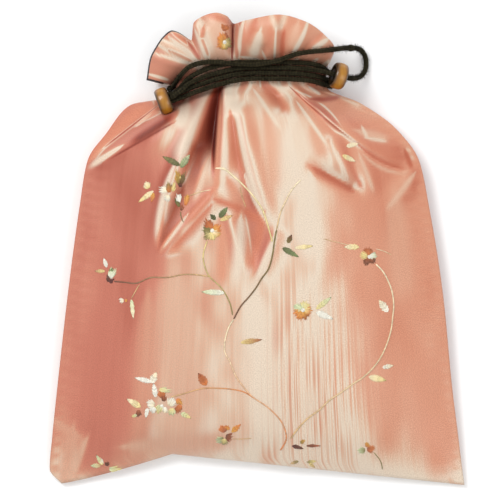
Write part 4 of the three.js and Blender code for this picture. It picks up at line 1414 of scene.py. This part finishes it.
def stitch_mesh(name, starts, ends, widths, first_colours, last_colours):
    """One mesh of strands between places in plan: rings of half a width aside and a third upwards.

    The width swells from the tips to the middle like a sine, and so does the height over the cloth."""
    share = np.linspace(0, 1, STITCH_POINTS)
    plan_places = mix(starts[:, None], ends[:, None], share[None, :, None])
    places, normals = on_cloth(plan_places[..., 0], plan_places[..., 1])
    lift = STITCH_PUFF * np.sin(np.pi * share) - STITCH_SINK
    places = places + normals * lift[None, :, None]
    along = unit(np.gradient(places, axis=1))
    side = unit(np.cross(along, normals))
    upright = np.cross(side, along)
    turn = np.linspace(0, 2 * np.pi, STITCH_SIDES, endpoint=False)
    plump = (widths[:, None] / 2 * (STITCH_TIP + STITCH_BELLY * np.sin(np.pi * share)))[:, :, None, None]
    across = np.cos(turn)[:, None] * side[:, :, None]
    around = across + STITCH_FLATNESS * np.sin(turn)[:, None] * upright[:, :, None]
    rings = places[:, :, None] + plump * around
    count = len(starts)
    ring_points = rings.reshape(-1, 3)
    tips = np.concatenate([places[:, 0], places[:, -1]])
    body = grid_quads(STITCH_POINTS, STITCH_SIDES, closed=True)[:, ::-1]
    per_stitch = STITCH_POINTS * STITCH_SIDES
    offsets = np.arange(count)[:, None, None] * per_stitch
    quads = (body[None] + offsets).reshape(-1, 4)
    rim = np.arange(STITCH_SIDES)
    last = rim + per_stitch - STITCH_SIDES
    tip = count * per_stitch + np.arange(count)[:, None, None]
    near = np.stack([rim, np.roll(rim, -1)], axis=1)[None] + offsets
    far = np.stack([np.roll(last, -1), last], axis=1)[None] + offsets
    near = np.concatenate([np.broadcast_to(tip, (count, STITCH_SIDES, 1)), near], axis=2)
    far = np.concatenate([np.broadcast_to(tip + count, (count, STITCH_SIDES, 1)), far], axis=2)
    triangles = np.concatenate([near, far]).reshape(-1, 3)
    piece = mesh_object(name, np.concatenate([ring_points, tips]) * MM, quads, triangles)
    shade = mix(first_colours[:, None], last_colours[:, None], share[None, :, None])
    shade = np.repeat(shade.reshape(-1, 3), STITCH_SIDES, axis=0)
    shade = np.concatenate([shade, first_colours, last_colours])
    colour = np.concatenate([shade, np.ones((len(shade), 1))], axis=1).astype(np.float32)
    kept = piece.data.attributes.new("floss_colour", "FLOAT_COLOR", "POINT")
    kept.data.foreach_set("color", colour.ravel())
    return piece


FLOSS_SHADES = 0.70, 1.14
floss_random = np.random.default_rng(11)


def floss_colour(name, count):
    """Linear colours of count stitches in one floss, each a little lighter or darker than the next."""
    return linear(FLOSS[name])[None] * floss_random.uniform(*FLOSS_SHADES, (count, 1))


print("a stitch has", 2 * STITCH_SIDES * STITCH_POINTS, "triangles")

# %% [markdown]
# ## Stems
# The stems are worked in stem stitch: short stitches that overlap, each starting to one side of
# the line and ending on the other, which makes a fine rope. Their lines are read off the picture, by
# column and row, and smoothed like the cords.

# %% Lines of the stems
STEMS = [
    ("olive", "brown", 1.05, [
        (276, 230), (274, 241), (272, 255), (268, 269), (262, 277), (256, 287), (249, 296), (241, 305),
        (234, 318),
    ]),
    ("cream", "orange", 1.0, [
        (234, 318), (230, 324), (226, 336), (225, 350), (230, 359), (235, 372), (243, 384), (253, 395),
        (265, 403), (275, 412), (282, 421), (286, 437), (280, 449),
    ]),
    ("straw", "olive", 0.9, [
        (208, 241), (204, 255), (205, 264), (210, 276), (218, 283), (224, 290), (228, 297), (231, 304),
        (233, 314),
    ]),
    ("brown", "tan", 0.95, [
        (115, 281), (128, 282), (138, 283), (145, 280), (152, 277), (169, 277), (184, 274), (195, 274),
        (210, 276),
    ]),
    ("tan", "tan", 0.7, [(141, 284), (137, 291), (133, 298)]),
    ("cream", "straw", 1.2, [
        (216, 170), (224, 170), (232, 176), (240, 183), (247, 190), (254, 198), (262, 210), (267, 224),
        (272, 242),
    ]),
    ("tan", "tan", 0.6, [(240, 188), (242, 197), (246, 208)]),
    ("tan", "cream", 0.6, [(190, 197), (201, 193), (212, 191)]),
    ("cream", "tan", 0.9, [(300, 181), (294, 187), (289, 194), (285, 202), (280, 213), (276, 230)]),
    ("tan", "orange", 0.85, [
        (172, 395), (183, 392), (196, 388), (205, 386), (218, 386), (232, 387), (245, 390), (254, 396),
    ]),
    ("tan", "cream", 1.15, [
        (290, 437), (296, 428), (307, 416), (319, 407), (328, 398), (340, 390), (351, 382), (362, 375),
        (374, 363), (382, 350), (389, 330), (391, 315), (392, 305), (390, 290), (386, 280), (381, 271),
        (374, 264),
    ]),
    ("tan", "cream", 0.5, [(322, 239), (338, 243), (350, 246), (358, 248)]),
    ("cream", "tan", 0.5, [(374, 249), (382, 251), (390, 255)]),
    ("olive", "olive", 0.6, [(373, 451), (380, 460), (382, 469)]),
    ("tan", "tan", 0.5, [(232, 437), (243, 437), (252, 436)]),
    ("olive", "brown", 0.7, [(182, 212), (182, 217), (185, 223)]),
]
STEM_STITCH, STEM_ADVANCE, STEM_SLANT = 3.4, 1.5, 0.16
STEM_STEP, STEM_SPARE = 0.25, 0.6


def stem_stitches():
    """Starts, ends, widths and colours of every stem stitch along the smoothed lines."""
    made = []
    for first, last, width, line in STEMS:
        columns, rows = np.array(line, float).T
        x, y = from_photo(columns, rows)
        path, length = smooth_path(np.stack([x, y, 0 * x], axis=1), STEM_STEP)
        marks = np.arange(0, length - STEM_STITCH * STEM_SPARE, STEM_ADVANCE)
        travelled = np.linspace(0, length, len(path))
        _, side, _ = frames_along(path, (0, 0, 1))

        def at(mark, offset):
            place = [np.interp(mark, travelled, path[:, axis] + offset * side[:, axis]) for axis in (0, 1)]
            return np.stack(place, axis=1)

        share = (marks / length)[:, None]
        colour = mix(floss_colour(first, len(marks)), floss_colour(last, len(marks)), share)
        ends = at(np.minimum(marks + STEM_STITCH, length), STEM_SLANT * width)
        made.append((at(marks, -STEM_SLANT * width), ends, np.full(len(marks), width), colour, colour))
    return [np.concatenate(column) for column in zip(*made)]


stems = stitch_mesh("stem_stitches", *stem_stitches())
print("stems of", len(stems.data.polygons), "faces")

# %% [markdown]
# ## Leaves and petals
# A leaf is filled with satin stitches that slant from its middle vein to its edge; a petal is a fan of
# long stitches from its base to its rim, often shaded from one colour to another. Each is one row in a
# table: where it starts, where its tip lies, how broad it is and its two colours. The lengths are a
# little ragged, as in work by hand.

# %% Leaves
LEAVES = [
    (181, 167, 164, 158, 3.6, "dark green", "olive"), (182, 169, 191, 156, 3.8, "green", "pale green"),
    (155, 192, 140, 203, 3.2, "cream", "straw"), (155, 194, 153, 203, 2.8, "gold", "orange"),
    (216, 220, 211, 215, 3.0, "dark green", "dark green"), (220, 218, 228, 208, 3.6, "dark green", "green"),
    (221, 221, 233, 216, 2.8, "straw", "tan"), (108, 267, 105, 258, 2.6, "white", "white"),
    (106, 271, 96, 271, 2.4, "straw", "tan"), (133, 299, 135, 318, 2.6, "pale green", "cream"),
    (225, 292, 202, 291, 3.4, "white", "pale green"), (241, 341, 262, 338, 3.2, "straw", "rust"),
    (282, 248, 298, 257, 3.4, "dark green", "green"), (287, 243, 291, 235, 3.0, "olive", "brown"),
    (294, 248, 312, 246, 2.8, "cream", "straw"), (357, 247, 342, 247, 3.6, "straw", "cream"),
    (315, 308, 330, 296, 3.2, "straw", "pale green"), (315, 311, 332, 318, 4.0, "white", "white"),
    (386, 311, 377, 299, 4.4, "white", "cream"), (367, 375, 385, 379, 4.2, "cream", "straw"),
    (381, 366, 392, 364, 2.8, "white", "cream"), (345, 148, 357, 145, 3.2, "cream", "cream"),
    (341, 157, 354, 163, 3.2, "straw", "cream"), (207, 383, 199, 371, 5.0, "orange", "rust"),
    (153, 380, 136, 376, 3.2, "white", "white"), (153, 381, 158, 370, 4.4, "white", "cream"),
    (157, 395, 155, 381, 3.4, "white", "white"), (182, 411, 192, 416, 3.2, "pale green", "straw"),
    (142, 405, 128, 397, 3.8, "straw", "cream"), (138, 413, 133, 415, 2.4, "pale green", "straw"),
    (149, 406, 147, 416, 2.6, "white", "white"), (232, 430, 241, 422, 3.2, "gold", "orange"),
    (292, 444, 303, 447, 2.6, "maroon", "brown"), (306, 444, 320, 444, 1.8, "brown", "rust"),
    (298, 460, 290, 463, 2.2, "olive", "tan"), (307, 461, 316, 460, 2.2, "olive", "straw"),
    (309, 462, 315, 467, 2.2, "straw", "tan"), (103, 464, 97, 454, 2.6, "straw", "pale green"),
    (101, 465, 91, 465, 3.0, "tan", "pale green"), (226, 34, 222, 27, 3.2, "rust", "orange"),
]
LEAF_SPACING, LEAF_SLANT, FLOSS_WIDTH = 0.46, 0.16, 0.62
FULLNESS, VEIN_OVERLAP = 1.22, 0.25
RAGGED = 0.78, 1.14
LEAF_START, LEAF_FEWEST, LEAF_LIGHTER = 0.06, 7, 1.04
LEAF_LOPSIDED, LEAF_PLUMP = 0.8, 0.85


def leaf_stitches():
    """Both halves of every leaf: from the vein to an edge that swells and narrows like a lopsided sine."""
    made = []
    for base_column, base_row, tip_column, tip_row, breadth, first, last in LEAVES:
        base = np.array(from_photo(base_column, base_row))
        reach = np.array(from_photo(tip_column, tip_row)) - base
        length = np.hypot(*reach)
        across = np.array([-reach[1], reach[0]]) / length
        share = np.linspace(LEAF_START, 1, max(LEAF_FEWEST, int(length / LEAF_SPACING)))
        swell = FULLNESS * breadth / 2 * np.sin(np.pi * share**LEAF_LOPSIDED) ** LEAF_PLUMP
        swell = swell * floss_random.uniform(*RAGGED, len(share))
        colour = mix(floss_colour(first, len(share)), floss_colour(last, len(share)), share[:, None])
        vein = base + np.maximum(share - LEAF_SLANT, 0)[:, None] * reach
        for hand in (-1, 1):
            edge = base + share[:, None] * reach + hand * np.abs(swell)[:, None] * across
            inside = vein - hand * VEIN_OVERLAP * np.abs(swell)[:, None] * across
            made.append((inside, edge, np.full(len(share), FLOSS_WIDTH), colour, colour * LEAF_LIGHTER))
    return [np.concatenate(column) for column in zip(*made)]


leaves = stitch_mesh("leaf_stitches", *leaf_stitches())
print("leaves of", len(leaves.data.polygons), "faces")

# %% Petals and flower centres
PETALS = [
    (181, 188, 178, 173, 3.6, "olive", "gold"), (181, 188, 185, 174, 3.4, "brown", "olive"),
    (182, 189, 181, 184, 2.2, "maroon", "brown"), (171, 192, 161, 190, 4.4, "cream", "white"),
    (170, 195, 168, 202, 3.8, "cream", "white"), (171, 195, 170, 185, 3.8, "orange", "olive"),
    (174, 194, 176, 184, 2.4, "straw", "straw"), (181, 209, 177, 199, 2.4, "olive", "dark green"),
    (180, 206, 180, 194, 3.2, "white", "white"), (186, 208, 189, 196, 2.8, "orange", "gold"),
    (182, 212, 184, 206, 2.2, "brown", "rust"), (151, 190, 147, 184, 4.6, "straw", "cream"),
    (213, 231, 207, 221, 5.6, "orange", "rust"), (213, 231, 221, 227, 5.2, "gold", "orange"),
    (213, 231, 204, 230, 4.6, "olive", "olive"), (213, 231, 206, 238, 5.0, "straw", "olive"),
    (213, 231, 213, 240, 5.2, "straw", "straw"), (213, 231, 220, 235, 4.6, "cream", "gold"),
    (111, 280, 115, 268, 4.6, "white", "pale green"), (112, 273, 113, 268, 2.4, "green", "green"),
    (110, 283, 109, 274, 2.2, "maroon", "brown"), (110, 283, 115, 279, 2.2, "maroon", "maroon"),
    (126, 300, 121, 300, 3.0, "cream", "white"), (129, 300, 126, 300, 1.8, "gold", "orange"),
    (302, 309, 294, 313, 5.0, "gold", "orange"), (302, 309, 298, 318, 5.0, "gold", "orange"),
    (302, 309, 305, 317, 5.0, "gold", "rust"), (302, 309, 310, 310, 5.0, "straw", "orange"),
    (302, 309, 308, 304, 4.6, "straw", "straw"), (302, 309, 304, 301, 4.8, "pale green", "straw"),
    (302, 309, 294, 305, 5.0, "pale green", "pale green"), (367, 256, 365, 248, 6.0, "orange", "rust"),
    (367, 256, 375, 256, 4.8, "white", "pale green"), (367, 256, 373, 263, 3.6, "rust", "brown"),
    (367, 256, 364, 264, 4.2, "rust", "brown"), (367, 256, 359, 255, 4.8, "straw", "straw"),
    (159, 387, 171, 389, 3.4, "straw", "pale green"), (164, 397, 162, 388, 4.8, "rust", "orange"),
    (157, 403, 149, 401, 5.2, "cream", "white"), (156, 404, 153, 410, 4.2, "white", "white"),
    (162, 402, 159, 410, 5.2, "pale green", "straw"), (173, 405, 173, 413, 4.6, "straw", "pale green"),
    (170, 405, 174, 397, 5.8, "cream", "white"), (177, 396, 182, 402, 3.4, "orange", "gold"),
    (182, 401, 178, 410, 4.0, "orange", "rust"), (140, 407, 140, 415, 3.2, "rust", "brown"),
    (164, 400, 166, 394, 3.0, "brown", "rust"), (166, 404, 166, 411, 3.6, "white", "cream"),
    (226, 431, 222, 424, 5.2, "rust", "orange"), (225, 434, 232, 436, 5.6, "brown", "rust"),
    (225, 436, 217, 439, 4.2, "olive", "pale green"), (225, 436, 224, 443, 4.6, "straw", "olive"),
    (226, 428, 229, 424, 3.0, "gold", "orange"), (365, 448, 358, 449, 4.2, "olive", "pale green"),
    (365, 448, 373, 447, 4.8, "rust", "orange"), (365, 446, 367, 441, 3.0, "orange", "gold"),
    (107, 466, 108, 461, 2.6, "maroon", "brown"), (108, 468, 120, 469, 4.4, "pale green", "straw"),
    (104, 464, 101, 458, 2.0, "cream", "white"), (299, 441, 304, 439, 2.4, "olive", "gold"),
    (225, 45, 218, 42, 4.4, "gold", "orange"), (225, 45, 221, 37, 4.6, "gold", "orange"),
    (225, 45, 226, 36, 4.0, "orange", "rust"), (225, 45, 231, 42, 4.0, "straw", "olive"),
    (225, 45, 230, 50, 4.0, "straw", "olive"), (225, 45, 224, 52, 4.4, "straw", "gold"),
    (225, 45, 218, 49, 4.0, "gold", "orange"), (228, 34, 226, 28, 2.8, "orange", "rust"),
]
CENTRES = [
    (213, 231, 3.2, "white"), (302, 309, 3.4, "white"), (368, 257, 3.2, "white"),
    (225, 45, 3.2, "white"), (181, 179, 2.6, "straw"), (163, 404, 2.6, "white"),
]
PETAL_SPACING, PETAL_FEWEST, PETAL_REACH, PETAL_FLOSS = 0.42, 5, 1.12, 0.7
PETAL_START, PETAL_BASE, PETAL_RIM, PETAL_ROUND = 0.12, 0.16, 0.5, 0.3
CENTRE_STITCHES, CENTRE_FLOSS = 7, 0.9


def petal_stitches():
    """Every petal as a fan from a narrow base to a rounded rim, then each centre as a star of stitches."""
    made = []
    for base_column, base_row, tip_column, tip_row, breadth, first, last in PETALS:
        base = np.array(from_photo(base_column, base_row))
        reach = (np.array(from_photo(tip_column, tip_row)) - base) * PETAL_REACH
        breadth = breadth * FULLNESS
        across = np.array([-reach[1], reach[0]]) / np.hypot(*reach)
        spread = np.linspace(-1, 1, max(PETAL_FEWEST, int(breadth / PETAL_SPACING)))[:, None]
        starts = base + PETAL_START * reach + PETAL_BASE * breadth * spread * across
        count = len(spread)
        ragged = floss_random.uniform(*RAGGED, (count, 1))
        ends = base + (1 - PETAL_ROUND * spread**2) * ragged * reach + PETAL_RIM * breadth * spread * across
        colours = floss_colour(first, count), floss_colour(last, count)
        made.append((starts, ends, np.full(count, PETAL_FLOSS), *colours))
    for column, row, breadth, name in CENTRES:
        turn = np.linspace(0, np.pi, CENTRE_STITCHES, endpoint=False)
        arm = breadth / 2 * np.stack([np.cos(turn), np.sin(turn)], axis=1)
        centre = np.array(from_photo(column, row))
        colour = floss_colour(name, CENTRE_STITCHES)
        made.append((centre - arm, centre + arm, np.full(CENTRE_STITCHES, CENTRE_FLOSS), colour, colour))
    return [np.concatenate(column) for column in zip(*made)]


petals = stitch_mesh("petal_stitches", *petal_stitches())
for work in (stems, leaves, petals):
    dress(work, "silk", embroidery_floss)
print("petals of", len(petals.data.polygons), "faces")
